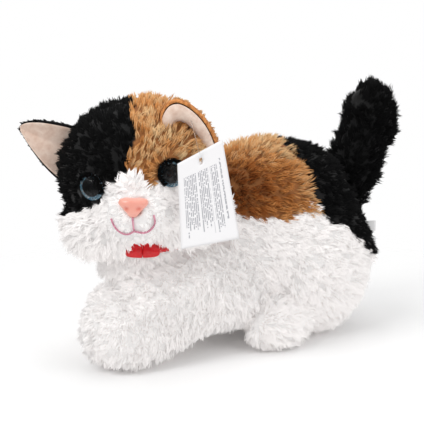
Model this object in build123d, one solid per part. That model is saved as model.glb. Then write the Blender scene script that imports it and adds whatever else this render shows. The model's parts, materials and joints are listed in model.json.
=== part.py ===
from build123d import *
import math
import os

# Interactive plush kitten, crouching, facing -Y with its left side towards +X, floor at z = 0.
# Millimetres and degrees. The design frame has x = 0 on the body's centre plane; every part is
# moved by ORIGIN_SHIFT when written, so the origin lies under the middle of the whole toy.

# Driving dimensions: plush
TORSO_CENTRE, TORSO_RADII = (0, 28, 96), (66, 104, 92)
CHEST_CENTRE, CHEST_RADII = (0, -80, 66), (34, 66, 62)
HAUNCH_CENTRE, HAUNCH_RADII = (40, 56, 66), (34, 56, 62)
FOOT_CENTRE, FOOT_RADII = (58, 0, 21), (22, 34, 24)
HEAD_CENTRE, HEAD_RADII = (12, -119, 167), (72, 58, 66)
HEAD_TURN, HEAD_TILT = 57, -10
CHEEK_CENTRE, CHEEK_RADII = (34, -10, -38), (42, 36, 34)
MUZZLE_CENTRE, MUZZLE_RADII = (0, -46, -32), (34, 22, 26)
SOFT_GAP = 1.5

# Driving dimensions: axes of motion
NECK_XY, NOD_HEIGHT = (0, -111), 140
SHOULDER_YZ = (-72, 54)
TAIL_XZ = (0, 112)
HEAD_SWEEP_RADIUS, CHEST_TOP = 77, 82
TAIL_PLUSH_START = 98

# Driving dimensions: gearing and mechanism case
MODULE, PRESSURE_ANGLE, BACKLASH = 0.8, 25, 0.16
ADDENDUM, DEDENDUM = 0.8 * MODULE, 1.1 * MODULE
BIG_TEETH, PINION_TEETH, TRANSFER_TEETH = 36, 12, 22
REDUCTION_TEETH, MOTOR_TEETH = 26, 10
BIG_DISTANCE = MODULE * (BIG_TEETH + PINION_TEETH) / 2
RUN = 0.05
WALL = 2
CASE_X, CASE_Y, CASE_Z = (-30, 30), (-28, 82), (40, 130)
BAY_X, BAY_Y = (-24, 24), (-66, -28)
NOSE_RADIUS, NOSE_Z = 20, (32, 78)
BATTERY_X, BATTERY_Y, BATTERY_Z = (-26, 26), (-2, 62), (20, 40)
CASE_SPLIT, BOARD_Z = 61, 60
PIN_RADIUS = 1

ORIGIN_SHIFT = (-19.048, 19.198, 0)


# ---------------------------------------------------------------- helpers
def ellipsoid(centre, radii):
    return Pos(*centre) * scale(Sphere(1), by=radii)


def back_seamed(centre, radii):
    """An ellipsoid whose seam lies at the back, clear of the places where others join it."""
    return Pos(*centre) * Rot(0, 0, 90) * scale(Sphere(1), by=(radii[1], radii[0], radii[2]))


def tilted_ellipsoid(centre, radii, lean):
    return Pos(*centre) * Rot(lean, 0, 0) * scale(Sphere(1), by=radii)


def block(x_span, y_span, z_span):
    size = [high - low for low, high in (x_span, y_span, z_span)]
    middle = [(high + low) / 2 for low, high in (x_span, y_span, z_span)]
    return Pos(*middle) * Box(*size)


def rod_x(radius, x_span, y, z):
    length = x_span[1] - x_span[0]
    return Pos((x_span[0] + x_span[1]) / 2, y, z) * Rot(0, 90, 0) * Cylinder(radius, length)


def rod_y(radius, y_span, x, z):
    length = y_span[1] - y_span[0]
    return Pos(x, (y_span[0] + y_span[1]) / 2, z) * Rot(90, 0, 0) * Cylinder(radius, length)


def rod_z(radius, z_span, x, y):
    length = z_span[1] - z_span[0]
    return Pos(x, y, (z_span[0] + z_span[1]) / 2) * Cylinder(radius, length)


def sided(side, near, far):
    """A span along X on the given side, with its lower end first."""
    return tuple(sorted((side * near, side * far)))


HEAD_PLACE = Pos(*HEAD_CENTRE) * Rot(0, 0, HEAD_TURN) * Rot(0, HEAD_TILT, 0)


def in_head(shape):
    """Place a shape given in the head's own frame: forward -Y, its left +X."""
    return HEAD_PLACE * shape


def mirrored(shape):
    return mirror(shape, about=Plane.YZ)


def one(shape):
    """The largest solid of a cut, as a single part."""
    return max(shape.solids(), key=lambda solid: solid.volume)


def coil(radius, wire, low, height, turns, place=Pos(0, 0, 0)):
    path = Helix(pitch=height / turns, height=height, radius=radius)
    section = Plane(origin=path @ 0, z_dir=path % 0) * Circle(wire)
    return place * Pos(0, 0, low) * sweep(section, path=path, is_frenet=True)


def polar(centre, distance, angle):
    radians = math.radians(angle)
    return (centre[0] + distance * math.cos(radians), centre[1] + distance * math.sin(radians))


# ---------------------------------------------------------------- gears
def involute(angle):
    return math.tan(angle) - angle


def flank_half_angle(radius, teeth):
    pitch_radius = MODULE * teeth / 2
    pressure = math.radians(PRESSURE_ANGLE)
    base = pitch_radius * math.cos(pressure)
    half_at_pitch = math.pi / (2 * teeth) - BACKLASH / (4 * pitch_radius)
    turned = math.acos(min(1, base / radius))
    return half_at_pitch + involute(pressure) - involute(turned)


def gear_outline(teeth, phase):
    pitch_radius = MODULE * teeth / 2
    root, tip = pitch_radius - DEDENDUM, pitch_radius + ADDENDUM
    base = pitch_radius * math.cos(math.radians(PRESSURE_ANGLE))
    radii = [max(root, base) + (tip - max(root, base)) * step / 3 for step in range(4)]
    if root < base:
        radii.insert(0, root)
    points = []
    for tooth in range(teeth):
        middle = math.radians(phase) + 2 * math.pi * tooth / teeth
        rising = [(r, middle - flank_half_angle(r, teeth)) for r in radii]
        falling = [(r, middle + flank_half_angle(r, teeth)) for r in reversed(radii)]
        points += [(r * math.cos(a), r * math.sin(a)) for r, a in rising + falling]
    return make_face(Polyline(*points, close=True))


def gear(plane, centre, axial_span, teeth, phase):
    """A spur gear whose axis is the plane's normal, between two positions along that normal."""
    low, high = axial_span
    outline = Pos(centre[0], centre[1], low) * gear_outline(teeth, phase)
    return plane * extrude(outline, high - low)


def meshing_phase(teeth, phase, mate_teeth, direction):
    """Phase of a mating gear that lies in the given direction from the first one."""
    pitches = (direction - phase) * teeth / 360
    return direction + 180 - (360 / mate_teeth) * (0.5 - pitches)


ACROSS = Plane(origin=(0, 0, 0), x_dir=(0, 1, 0), z_dir=(1, 0, 0))
UPRIGHT = Plane.XY
LENGTHWAYS = Plane(origin=(0, 0, 0), x_dir=(0, 0, 1), z_dir=(0, 1, 0))

# Leg train, in (y, z): leg gears on the shoulder axle, two transfer gears that turn opposite ways
TRANSFER_SPREAD = math.degrees(math.asin(MODULE * TRANSFER_TEETH / 2 / BIG_DISTANCE))
UPPER_TRANSFER = polar(SHOULDER_YZ, BIG_DISTANCE, TRANSFER_SPREAD)
LOWER_TRANSFER = polar(SHOULDER_YZ, BIG_DISTANCE, -TRANSFER_SPREAD)
REDUCTION_ANGLE, MOTOR_ANGLE = -20, -10
REDUCTION = polar(UPPER_TRANSFER, MODULE * (TRANSFER_TEETH + PINION_TEETH) / 2, REDUCTION_ANGLE)
LEG_MOTOR = polar(REDUCTION, MODULE * (REDUCTION_TEETH + MOTOR_TEETH) / 2, MOTOR_ANGLE)
LEG_PLANE, MIDDLE_PLANE, MOTOR_PLANE = (9, 12), (-2, 1), (4, 6.5)
AXLE_X = (-40, 40)

LEFT_PINION_PHASE = meshing_phase(BIG_TEETH, 0, PINION_TEETH, TRANSFER_SPREAD)
RIGHT_PINION_PHASE = meshing_phase(BIG_TEETH, 0, PINION_TEETH, -TRANSFER_SPREAD)
LOWER_TRANSFER_PHASE = meshing_phase(TRANSFER_TEETH, 0, TRANSFER_TEETH, -90)
REDUCTION_PHASE = meshing_phase(TRANSFER_TEETH, 0, PINION_TEETH, REDUCTION_ANGLE)
MOTOR_PHASE = meshing_phase(REDUCTION_TEETH, 0, MOTOR_TEETH, MOTOR_ANGLE)


def transfer_gear(centre, transfer_phase, pinion_phase, leg_plane):
    wide = gear(ACROSS, centre, MIDDLE_PLANE, TRANSFER_TEETH, transfer_phase)
    small = gear(ACROSS, centre, leg_plane, PINION_TEETH, pinion_phase)
    inner = (MIDDLE_PLANE[1], leg_plane[0]) if leg_plane[0] > 0 else (leg_plane[1], MIDDLE_PLANE[0])
    hub = rod_x(2.2, inner, *centre)
    return wide + small + hub - rod_x(PIN_RADIUS + RUN, (-20, 20), *centre)


def foreleg_gear(side):
    """Leg gear, moulded in one with the hub tube that carries the foreleg."""
    plane = LEG_PLANE if side > 0 else (-LEG_PLANE[1], -LEG_PLANE[0])
    tube = rod_x(4, sided(side, 5, 44), *SHOULDER_YZ)
    bore = rod_x(2 + RUN, (-50, 50), *SHOULDER_YZ)
    return gear(ACROSS, SHOULDER_YZ, plane, BIG_TEETH, 0) + tube - bore


def reduction_gear():
    big = gear(ACROSS, REDUCTION, MOTOR_PLANE, REDUCTION_TEETH, 0)
    small = gear(ACROSS, REDUCTION, MIDDLE_PLANE, PINION_TEETH, REDUCTION_PHASE)
    hub = rod_x(3, (MIDDLE_PLANE[1], MOTOR_PLANE[0]), *REDUCTION)
    return big + small + hub - rod_x(PIN_RADIUS + RUN, (-20, 20), *REDUCTION)


def gear_axles():
    upper = rod_x(PIN_RADIUS, (-19, 19), *UPPER_TRANSFER)
    lower = rod_x(PIN_RADIUS, (-19, 19), *LOWER_TRANSFER)
    return Compound([upper, lower, rod_x(PIN_RADIUS, (-23, 23), *REDUCTION)])


def leg_motor():
    y, z = LEG_MOTOR
    can = rod_x(10, (-20, 2), y, z) & block((-20, 2), (y - 7.5, y + 7.5), (z - 10, z + 10))
    return can + rod_x(3, (2, 3.2), y, z) + rod_x(PIN_RADIUS, (3.2, 7), y, z)


def leg_motor_pinion():
    bore = rod_x(PIN_RADIUS, (0, 20), *LEG_MOTOR)
    return gear(ACROSS, LEG_MOTOR, MOTOR_PLANE, MOTOR_TEETH, MOTOR_PHASE) - bore


# ---------------------------------------------------------------- neck and tail drives
NECK_GEAR_Z = (63, 68)
HEAD_PINION_XY = (NECK_XY[0], NECK_XY[1] + BIG_DISTANCE)
TAIL_GEAR_Y = (70, 74)
TAIL_PINION_ZX = (TAIL_XZ[1] - BIG_DISTANCE, TAIL_XZ[0])
TAIL_SHAFT_Y = (66, 118)


def neck_gear():
    return gear(UPRIGHT, NECK_XY, NECK_GEAR_Z, BIG_TEETH, 0) - rod_z(6, (60, 70), *NECK_XY)


def head_turn_pinion():
    phase = meshing_phase(BIG_TEETH, 0, PINION_TEETH, 90)
    span = (NECK_GEAR_Z[0] - 0.5, NECK_GEAR_Z[1] + 0.5)
    wheel = gear(UPRIGHT, HEAD_PINION_XY, span, PINION_TEETH, phase)
    return wheel - rod_z(1.5, (60, 70), *HEAD_PINION_XY)


def tail_gear():
    centre = (TAIL_XZ[1], TAIL_XZ[0])
    return gear(LENGTHWAYS, centre, TAIL_GEAR_Y, BIG_TEETH, 0) - rod_y(4, (60, 90), *TAIL_XZ)


def tail_pinion():
    phase = meshing_phase(BIG_TEETH, 0, PINION_TEETH, 180)
    span = (TAIL_GEAR_Y[0] - 0.5, TAIL_GEAR_Y[1] + 0.5)
    wheel = gear(LENGTHWAYS, TAIL_PINION_ZX, span, PINION_TEETH, phase)
    return wheel - rod_y(1.5, (60, 90), TAIL_PINION_ZX[1], TAIL_PINION_ZX[0])


def gear_motors():
    """Two geared micro motors: one stands under the neck pinion, one lies ahead of the tail's."""
    x, y = HEAD_PINION_XY
    neck_motor = block((x - 6, x + 6), (y - 5, y + 5), (35, 59)) + rod_z(1.5, (59, 68.5), x, y)
    z, x = TAIL_PINION_ZX
    tail_motor = block((x - 6, x + 6), (42, 66), (z - 5, z + 5)) + rod_y(1.5, (66, 74.5), x, z)
    return Compound([neck_motor, tail_motor])


def head_frame_at_pivot(shape):
    turned = Rot(0, 0, HEAD_TURN) * Rot(0, HEAD_TILT, 0) * shape
    return Pos(NECK_XY[0], NECK_XY[1], NOD_HEIGHT) * turned


def nod_pin():
    return head_frame_at_pivot(Rot(0, 90, 0) * Cylinder(2.5, 23))


def neck_post():
    journal = rod_z(3, (36, 44), *NECK_XY)
    shaft = rod_z(6, (44, NOD_HEIGHT - 4), *NECK_XY)
    eye = head_frame_at_pivot(Box(12, 14, 16) - Rot(0, 90, 0) * Cylinder(2.5 + RUN, 14))
    clear_bore = head_frame_at_pivot(Rot(0, 90, 0) * Cylinder(2.5 + RUN, 30))
    return journal + shaft + eye - clear_bore


def shaft_bushes():
    """Plain bearing rings: one for the neck, one for the tail, one at each shoulder."""
    neck = rod_z(9, (75, NOSE_Z[1]), *NECK_XY) - rod_z(6 + RUN, (70, 80), *NECK_XY)
    tail = rod_y(6.5, (77, 84), *TAIL_XZ) - rod_y(4 + RUN, (70, 90), *TAIL_XZ)
    left = rod_x(6, (17, 21), *SHOULDER_YZ) - rod_x(4 + RUN, (10, 30), *SHOULDER_YZ)
    return Compound([neck, tail, left, mirrored(left)])


# ---------------------------------------------------------------- tail
TAIL_POINTS = [(0, 118, TAIL_XZ[1]), (0, 125, 140), (0, 137, 172), (0, 144, 200)]


def tail_armature():
    path = Spline(*TAIL_POINTS)
    bone = sweep(Plane(origin=path @ 0, z_dir=path % 0) * Circle(3.5), path=path)
    knuckle = Pos(*TAIL_POINTS[0]) * Sphere(5)
    shaft = rod_y(4, TAIL_SHAFT_Y, *TAIL_XZ)
    return shaft + knuckle + bone + Pos(*TAIL_POINTS[-1]) * Sphere(3.5)


def tail_plush_outer():
    lower = tilted_ellipsoid((0, 131, 162), (23, 24, 55), -16)
    return lower + ellipsoid((0, 147, 203), (25, 27, 37))


# ---------------------------------------------------------------- forelegs
PAW_LEFT, PAW_RADIUS_LEFT = (36, -154, 33), 33
PAW_RIGHT, PAW_RADII_RIGHT = (-52, -112, 26), (24, 32, 27)
ARM_X = (35.5, 66)
SHOULDER_RADIUS = 29


def arm_slab(wrist, wrist_radius):
    outline = make_hull((
        Pos(*SHOULDER_YZ) * Circle(SHOULDER_RADIUS) + Pos(*wrist) * Circle(wrist_radius)
    ).edges())
    slab = extrude(outline, ARM_X[1] - ARM_X[0])
    placed = ACROSS * Pos(0, 0, ARM_X[0]) * slab
    return fillet(placed.edges().filter_by(Plane.YZ), 11)


def bone(wrist):
    outline = make_hull((Pos(*SHOULDER_YZ) * Circle(9) + Pos(*wrist) * Circle(6)).edges())
    plate = ACROSS * Pos(0, 0, 39) * extrude(outline, 5)
    return plate - rod_x(4, (30, 50), *SHOULDER_YZ)


def above_floor(shape):
    return shape - block((-200, 200), (-300, 300), (-60, 0))


def foreleg_left_outer():
    return above_floor(arm_slab((-146, 30), 28) + Pos(*PAW_LEFT) * Sphere(PAW_RADIUS_LEFT))


def foreleg_right_outer():
    arm = mirrored(arm_slab((-104, 29), 26))
    return above_floor(arm + ellipsoid(PAW_RIGHT, PAW_RADII_RIGHT))


def foreleg_cover(outer, armature, side):
    hub_room = rod_x(9, sided(side, 35, 39), *SHOULDER_YZ)
    hub = rod_x(4, sided(side, 35, 44), *SHOULDER_YZ)
    return one(outer - armature - hub_room - hub)


def left_paw_room():
    """Ring section about the shoulder axis that the left paw passes through as the leg swings."""
    reach = math.dist(PAW_LEFT[1:], SHOULDER_YZ)
    ring = Rot(0, 90, 0) * Torus(reach, PAW_RADIUS_LEFT + SOFT_GAP)
    ahead_of_shoulder = (-240, SHOULDER_YZ[0] - 0.35 * reach)
    return Pos(PAW_LEFT[0], *SHOULDER_YZ) * ring & block((-90, 90), ahead_of_shoulder, (-40, 100))


def right_paw_room():
    """Part of a disc about the shoulder axis, where the right foreleg and its paw swing."""
    disc_reach, inner_face, outer_face = 61, -27, -90
    swept = rod_x(disc_reach, (outer_face, inner_face), *SHOULDER_YZ)
    return swept & block((outer_face, inner_face), (-160, -30), (-10, 60))


# ---------------------------------------------------------------- torso plush
def case_outline(grow):
    """Outside of the mechanism case, grown by a margin."""
    main = block(
        (CASE_X[0] - grow, CASE_X[1] + grow),
        (CASE_Y[0] - grow, CASE_Y[1] + grow),
        (CASE_Z[0] - grow, CASE_Z[1] + grow),
    )
    bay = block(
        (BAY_X[0] - grow, BAY_X[1] + grow),
        (BAY_Y[0] - grow, BAY_Y[1] + WALL),
        (NOSE_Z[0] - grow, NOSE_Z[1] + grow),
    )
    nose_half = NOSE_RADIUS + grow
    nose_z = (NOSE_Z[0] - grow, NOSE_Z[1] + grow)
    nose = block((-nose_half, nose_half), (NECK_XY[1], BAY_Y[0] + WALL), nose_z)
    return main + bay + nose + rod_z(nose_half, nose_z, *NECK_XY)


def battery_outline(grow):
    return block(
        (BATTERY_X[0] - grow, BATTERY_X[1] + grow),
        (BATTERY_Y[0] - grow, BATTERY_Y[1] + grow),
        (BATTERY_Z[0] - grow, BATTERY_Z[1] + WALL),
    )


BUTTON_XY, BUTTON_TUBE_Z = (0, 34), (CASE_Z[1] - 1, 166)
SCREW_XY = [(x, y) for x in (-25, 25) for y in (-22, 76)]
DOOR_SCREW_XY = (0, -5)
SWITCH_XY = (0, 72)
SPEAKER_XY = (0, -6)


def tail_clearance():
    """Room behind the rump for the tail root to swing from side to side."""
    depth = 60
    span = (TAIL_PLUSH_START, TAIL_PLUSH_START + depth)
    x, z = TAIL_XZ
    reach, half_angle = 95, math.radians(57)
    corner = (x + reach * math.sin(half_angle), z + reach * math.cos(half_angle))
    fan = make_face(Polyline(
        (x, z - 6), corner, (x, z + reach), (2 * x - corner[0], corner[1]), close=True
    ))
    plane = Plane(origin=(0, TAIL_PLUSH_START, 0), x_dir=(1, 0, 0), z_dir=(0, -1, 0))
    above = rod_y(34, span, x, z) & block((-40, 40), span, (z - 4, z + 40))
    return plane * extrude(fan, -depth) + above + rod_y(20, span, x, z)


def torso_body():
    return ellipsoid(TORSO_CENTRE, TORSO_RADII) + ellipsoid(CHEST_CENTRE, CHEST_RADII)


def torso_openings():
    """Holes through the plush for the shafts, battery door, door screw, switch and back button."""
    cuts = rod_z(7.5, (NOSE_Z[1], CHEST_TOP + 1), *NECK_XY)
    for side in (1, -1):
        cuts += rod_x(6.5, sided(side, 19, 40), *SHOULDER_YZ)
        cuts += rod_x(SHOULDER_RADIUS + SOFT_GAP, sided(side, 34.5, 90), *SHOULDER_YZ)
    cuts += rod_y(8, (CASE_Y[1], TAIL_PLUSH_START + 1), *TAIL_XZ)
    door_room = block((-29, 29), (-14, 66), (-1, BATTERY_Z[0]))
    door_screw_room = block((-6.5, 6.5), (-13, -2), (0, 41))
    switch_room = block((-12, 12), (64, 80), (-1, CASE_Z[0]))
    button_room = rod_z(7, (CASE_Z[1], 172), *BUTTON_XY) + rod_z(16, (165.5, 177), *BUTTON_XY)
    return cuts + door_room + door_screw_room + switch_room + button_room


def torso_plush():
    body = torso_body()
    body -= rod_z(HEAD_SWEEP_RADIUS, (CHEST_TOP, 260), *NECK_XY)
    body -= case_outline(0.5) + battery_outline(0.5)
    body -= torso_openings()
    body -= left_paw_room() + right_paw_room()
    body -= tail_clearance()
    return one(body)


def hind_leg(side):
    leg = ellipsoid(HAUNCH_CENTRE, HAUNCH_RADII) + ellipsoid(FOOT_CENTRE, FOOT_RADII)
    wide = tuple(radius + SOFT_GAP for radius in TORSO_RADII)
    leg -= ellipsoid(TORSO_CENTRE, wide)
    leg -= battery_outline(4) + block((-30, 30), (-20, 90), (-5, 60))
    leg = one(above_floor(leg))
    return leg if side > 0 else mirrored(leg)


# ---------------------------------------------------------------- mechanism case
def case_shell():
    inner = case_outline(-WALL)
    shell = case_outline(0) - inner
    box = battery_outline(0) - block(
        (BATTERY_X[0] + WALL, BATTERY_X[1] - WALL),
        (BATTERY_Y[0] + WALL, BATTERY_Y[1] - WALL),
        (BATTERY_Z[0] - 1, BATTERY_Z[1] - WALL),
    )
    return shell + box


def case_bosses():
    bosses = rod_z(5, (NOSE_Z[0] + 1, 42), *NECK_XY)
    y, z = SHOULDER_YZ
    bosses += block((-4, 3.9), (y - 2.5, y + 2.5), (NOSE_Z[0] + 1, z)) + rod_x(4.5, (-4, 3.9), y, z)
    for x, y in SCREW_XY:
        bosses += rod_z(3.6, (CASE_Z[0] + 1, 76), x, y)
    for x, y in [(-20, 8), (20, 8), (-20, 56), (20, 56)]:
        bosses += rod_z(2.5, (CASE_Z[0] + 1, BOARD_Z), x, y)
    bosses += rod_z(4, (BATTERY_Z[0], CASE_Z[0] + 1), *DOOR_SCREW_XY)
    return bosses


def case_holes():
    holes = rod_z(3 + RUN, (35, 43), *NECK_XY) + rod_z(9, (74, 80), *NECK_XY)
    holes += rod_y(6.5, (78, 86), *TAIL_XZ)
    for side in (1, -1):
        holes += rod_x(6, sided(side, 17, 22), *SHOULDER_YZ)
    holes += rod_x(2, AXLE_X, *SHOULDER_YZ)
    for x, y in SCREW_XY:
        holes += rod_z(2.8, (CASE_Z[0] - 1, 44.4), x, y)
    holes += rod_z(3 + RUN, (CASE_Z[1] - 6, 168), *BUTTON_XY)
    holes += block((-4.5, 4.5), (SWITCH_XY[1] - 2.5, SWITCH_XY[1] + 2.5), (38, 43))
    for index in range(6):
        holes += rod_z(1.6, (CASE_Z[1] - 3, CASE_Z[1] + 1), *polar(SPEAKER_XY, 8, 60 * index))
    return holes


def case_body():
    tube = rod_z(5, BUTTON_TUBE_Z, *BUTTON_XY)
    pins = gear_axles()
    body = case_shell() + case_bosses() + tube - case_holes()
    for pin in pins.solids():
        body -= pin
    return body - case_screws() - battery_door_screw_raw()


def screw(x, y, low, head_radius, shank_radius, head_height, length):
    head = rod_z(head_radius, (low, low + head_height), x, y)
    slot = block((x - 0.4, x + 0.4), (y - 3, y + 3), (low, low + 0.8))
    return head + rod_z(shank_radius, (low + head_height, low + length), x, y) - slot


def case_screws():
    return Compound([screw(x, y, 42, 2.6, 1.4, 2.4, 26) for x, y in SCREW_XY])


def battery_door_screw_raw():
    return rod_z(1.6, (16, 27), *DOOR_SCREW_XY)


def battery_door_screw():
    return screw(*DOOR_SCREW_XY, 15.7, 3, 1.5, 1.6, 10)


def battery_door():
    x, y = DOOR_SCREW_XY
    plate = block((-25.5, 25.5), (BATTERY_Y[0], BATTERY_Y[1]), (17.4, 19.4))
    tab = block((x - 6, x + 6), (y - 6, BATTERY_Y[0] + 1), (17.4, 19.4))
    ribs = [block((-20, 20), (12 + 8 * i, 14 + 8 * i), (16.8, 17.4)) for i in range(5)]
    for rib in ribs:
        plate += rib
    return plate + tab - rod_z(1.5, (10, 25), x, y)


CELL_X, CELL_Z, CELL_Y = (-15.2, 0, 15.2), 29, (6, 54)


def battery_cells():
    nipple = (CELL_Y[1], CELL_Y[1] + 1.2)
    cell = rod_y(7.1, CELL_Y, 0, CELL_Z) + rod_y(2.7, nipple, 0, CELL_Z)
    return Compound([Pos(x, 0, 0) * cell for x in CELL_X])


def battery_contacts():
    """A sprung plate at the front end of each cell and a plain one at the back."""
    contacts = []
    for x in CELL_X:
        width, height = (x - 5, x + 5), (CELL_Z - 6, CELL_Z + 6)
        contacts.append(block(width, (0.1, 0.6), height) + rod_y(2.5, (0.6, 5.9), x, CELL_Z))
        contacts.append(block(width, (59.4, 59.9), height) + rod_y(3, (55.3, 59.4), x, CELL_Z))
    return Compound(contacts)


def circuit_board():
    top = BOARD_Z + 1.6
    board = block((-23.5, 23.5), (4, 60), (BOARD_Z, top))
    board += block((-8, 6), (18, 32), (top, top + 2.2))
    board += block((10, 18), (10, 15), (top, top + 3))
    board += rod_z(3, (top, top + 8), -16, 14) + rod_z(2.5, (top, top + 7), -16, 24)
    for index in range(4):
        board += block((12, 16), (24 + 7 * index, 28 + 7 * index), (top, top + 1.2))
    return board


def speaker():
    x, y = SPEAKER_XY
    face = CASE_Z[1] - WALL
    basket = rod_z(14, (face - 6, face), x, y) - rod_z(12.5, (face - 4, face + 1), x, y)
    magnet = rod_z(8, (face - 13, face - 6), x, y)
    cone = Pos(x, y, face - 2.8) * Cone(3, 12, 2.4)
    return basket + magnet + cone


def power_switch():
    x, y = SWITCH_XY
    housing = block((x - 7, x + 7), (y - 4, y + 4), (42, 50))
    return housing - block((x - 4.8, x + 4.8), (y - 2.6, y + 2.6), (41, 46.5))


def power_switch_slider():
    x, y = SWITCH_XY
    stem = block((x - 4.2, x + 0.2), (y - 2.2, y + 2.2), (38.5, 46))
    thumb = block((x - 4.2, x + 0.2), (y - 2.2, y + 2.2), (36, 38.5))
    return stem + fillet(thumb.edges().filter_by(Axis.Y), 0.8)


def wiring_loom():
    to_motor = Spline((14, 12.5, 66), (12, 2, 72), (-4, -8, 72), (-10, -17, 64))
    to_tail = Spline((-4, 38, 63.5), (-8, 39, 74), (-3, 38, 90))
    wires = []
    for path in (to_motor, to_tail):
        wires.append(sweep(Plane(origin=path @ 0, z_dir=path % 0) * Circle(0.9), path=path))
    return Compound(wires)


# ---------------------------------------------------------------- touch buttons
def back_button():
    x, y = BUTTON_XY
    cap = fillet(rod_z(14, (169, 173), x, y).edges(), 1.2)
    return cap + rod_z(3, (140, 169.5), x, y)


def back_button_spring():
    return coil(2.4, 0.35, CASE_Z[1] + 0.6, 9, 5, Pos(*BUTTON_XY, 0))


HEAD_BUTTON_XY = (0, 14)


def head_button():
    cap = fillet(rod_z(8, (44.5, 47), *HEAD_BUTTON_XY).edges(), 0.8)
    return in_head(rod_z(3, (33, 45), *HEAD_BUTTON_XY) + cap)


def head_button_spring():
    return in_head(coil(2.4, 0.3, 23.5, 9, 5, Pos(*HEAD_BUTTON_XY, 0)))


# ---------------------------------------------------------------- head
SKULL_RADII = (50, 38, 44)
EYE_PLACE, EYE_RADIUS = (34, -50.5, -1), 11.5
EYE_TURN = 24


def skull_solid(grow):
    return ellipsoid((0, 0, 0), tuple(radius + grow for radius in SKULL_RADII))


def half_space(front):
    return block((-60, 60), (-60, 0) if front else (0, 60), (-60, 60))


def skull_room():
    """Cavity in the plush for the skull, in two halves; the rear one is a little roomier."""
    return (skull_solid(0.3) & half_space(True)) + (skull_solid(0.6) & half_space(False))


def skull(front):
    half = (skull_solid(0) - skull_solid(-2.5)) & half_space(front)
    if not front:
        half += rod_z(5.5, (21, 42.5), *HEAD_BUTTON_XY)
        half += lug(-1) + lug(1)
        half -= rod_z(3 + RUN, (23, 60), *HEAD_BUTTON_XY)
    half -= Pos(-4.5, 18.5, -40) * Cylinder(13, 24)
    placed = in_head(half)
    return one(placed - nod_pin())


def lug(side):
    """Ears inside the rear shell that carry the ends of the nod pin."""
    centre = -4.5
    span = tuple(sorted((centre + side * 6.4, centre + side * 11)))
    plates = block(span, (4, 24), (-33, -19)) + block(span, (9, 36), (-24, -20))
    return plates & skull_solid(-1)


def head_outer():
    x, y, z = CHEEK_CENTRE
    body = back_seamed((0, 0, 0), HEAD_RADII)
    for side in (1, -1):
        body += back_seamed((side * x, y, z), CHEEK_RADII)
    return body + back_seamed(MUZZLE_CENTRE, MUZZLE_RADII)


def at_eye(side, shape):
    x, y, z = EYE_PLACE
    return Pos(side * x, y, z) * Rot(0, 0, side * EYE_TURN) * Rot(90, 0, 0) * shape


def disc(radius, low, high):
    return Pos(0, 0, (low + high) / 2) * Cylinder(radius, high - low)


def eye_back():
    return disc(EYE_RADIUS, -2.5, 0) + disc(6.6, 0, 0.4) + disc(3, -13, -2.5)


def eye_glitter():
    return disc(EYE_RADIUS - 0.3, 0, 0.4) - disc(6.6, -1, 1)


def eye_lens():
    height = 5.5
    radius = (EYE_RADIUS ** 2 + height ** 2) / (2 * height)
    ball = Pos(0, 0, 0.4 + height - radius) * Sphere(radius)
    return ball & disc(EYE_RADIUS, 0.4, 0.4 + height)


def eye_washer():
    return disc(7, -12, -10.6) - disc(3, -20, 0)


def pair_of_eyes(piece):
    return Compound([in_head(at_eye(side, piece)) for side in (1, -1)])


def nose_local():
    outline = make_face(Polyline((-12, -14), (12, -14), (4, -29), (-4, -29), close=True))
    outline = fillet(outline.vertices(), 3)
    front = Plane(origin=(0, -60, 0), x_dir=(1, 0, 0), z_dir=(0, -1, 0))
    solid = front * extrude(outline, 12)
    return fillet(solid.faces().sort_by(Axis.Y)[0].edges(), 2.5)


def muzzle_point(x, z, proud=0.4):
    """A point just proud of the muzzle's front at the given place in the head frame."""
    share = 1 - (x / MUZZLE_RADII[0]) ** 2 - ((z - MUZZLE_CENTRE[2]) / MUZZLE_RADII[2]) ** 2
    return (x, MUZZLE_CENTRE[1] - MUZZLE_RADII[1] * math.sqrt(share) - proud, z)


def mouth_local():
    centre_line = [muzzle_point(0, z) for z in (-30, -35, -40)]
    smile = [muzzle_point(x, z) for x, z in ((-19, -32), (-16, -39), (-8, -43), (0, -40))]
    paths = [Spline(*centre_line), Spline(*smile), Spline(*[(-x, y, z) for x, y, z in smile])]
    thread = None
    for path in paths:
        piece = sweep(Plane(origin=path @ 0, z_dir=path % 0) * Circle(0.8), path=path)
        thread = piece if thread is None else thread + piece
    return thread + Pos(*muzzle_point(0, -40)) * Sphere(0.8)


EAR_OUTLINE = [(-50, 48), (-76, 60), (-101, 60), (-90, 22), (-72, -14), (-50, -6)]
EAR_LEFT_OUTLINE = [(24, 50), (34, 71), (52, 68), (70, 50), (80, 24), (70, 0), (50, 20)]


def ear_plate(outline, back, front, inset):
    face = make_face(Polyline(*outline, close=True))
    face = fillet(face.vertices(), 5)
    if inset:
        face = offset(face, -inset)
    plane = Plane(origin=(0, back, 0), x_dir=(1, 0, 0), z_dir=(0, -1, 0))
    plate = plane * extrude(face, back - front)
    return one(plate - ellipsoid((0, 0, 0), HEAD_RADII))


def ears():
    return {
        "ear_right": ear_plate(EAR_OUTLINE, 0, -6, 0),
        "ear_right_lining": ear_plate(EAR_OUTLINE, -6, -8, 3),
        "ear_left": ear_plate(EAR_LEFT_OUTLINE, 2, -4, 0),
        "ear_left_lining": ear_plate(EAR_LEFT_OUTLINE, -4, -6, 3),
    }


# The card faces left-forward, a little upwards, and hangs from a loop at the left ear.
# Its outline is about the hole, across and up: a slanted top edge and a slightly flared foot.
TAG_HOLE = (93, -101, 183)
TAG_AZIMUTH, TAG_ELEVATION = -30, 10
TAG_OUTLINE = [(-20, -2), (17, 18), (31, -63), (-17, -72)]
TAG_THICKNESS = 0.9
TAG_ROOT = (56, -22, 28)


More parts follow.
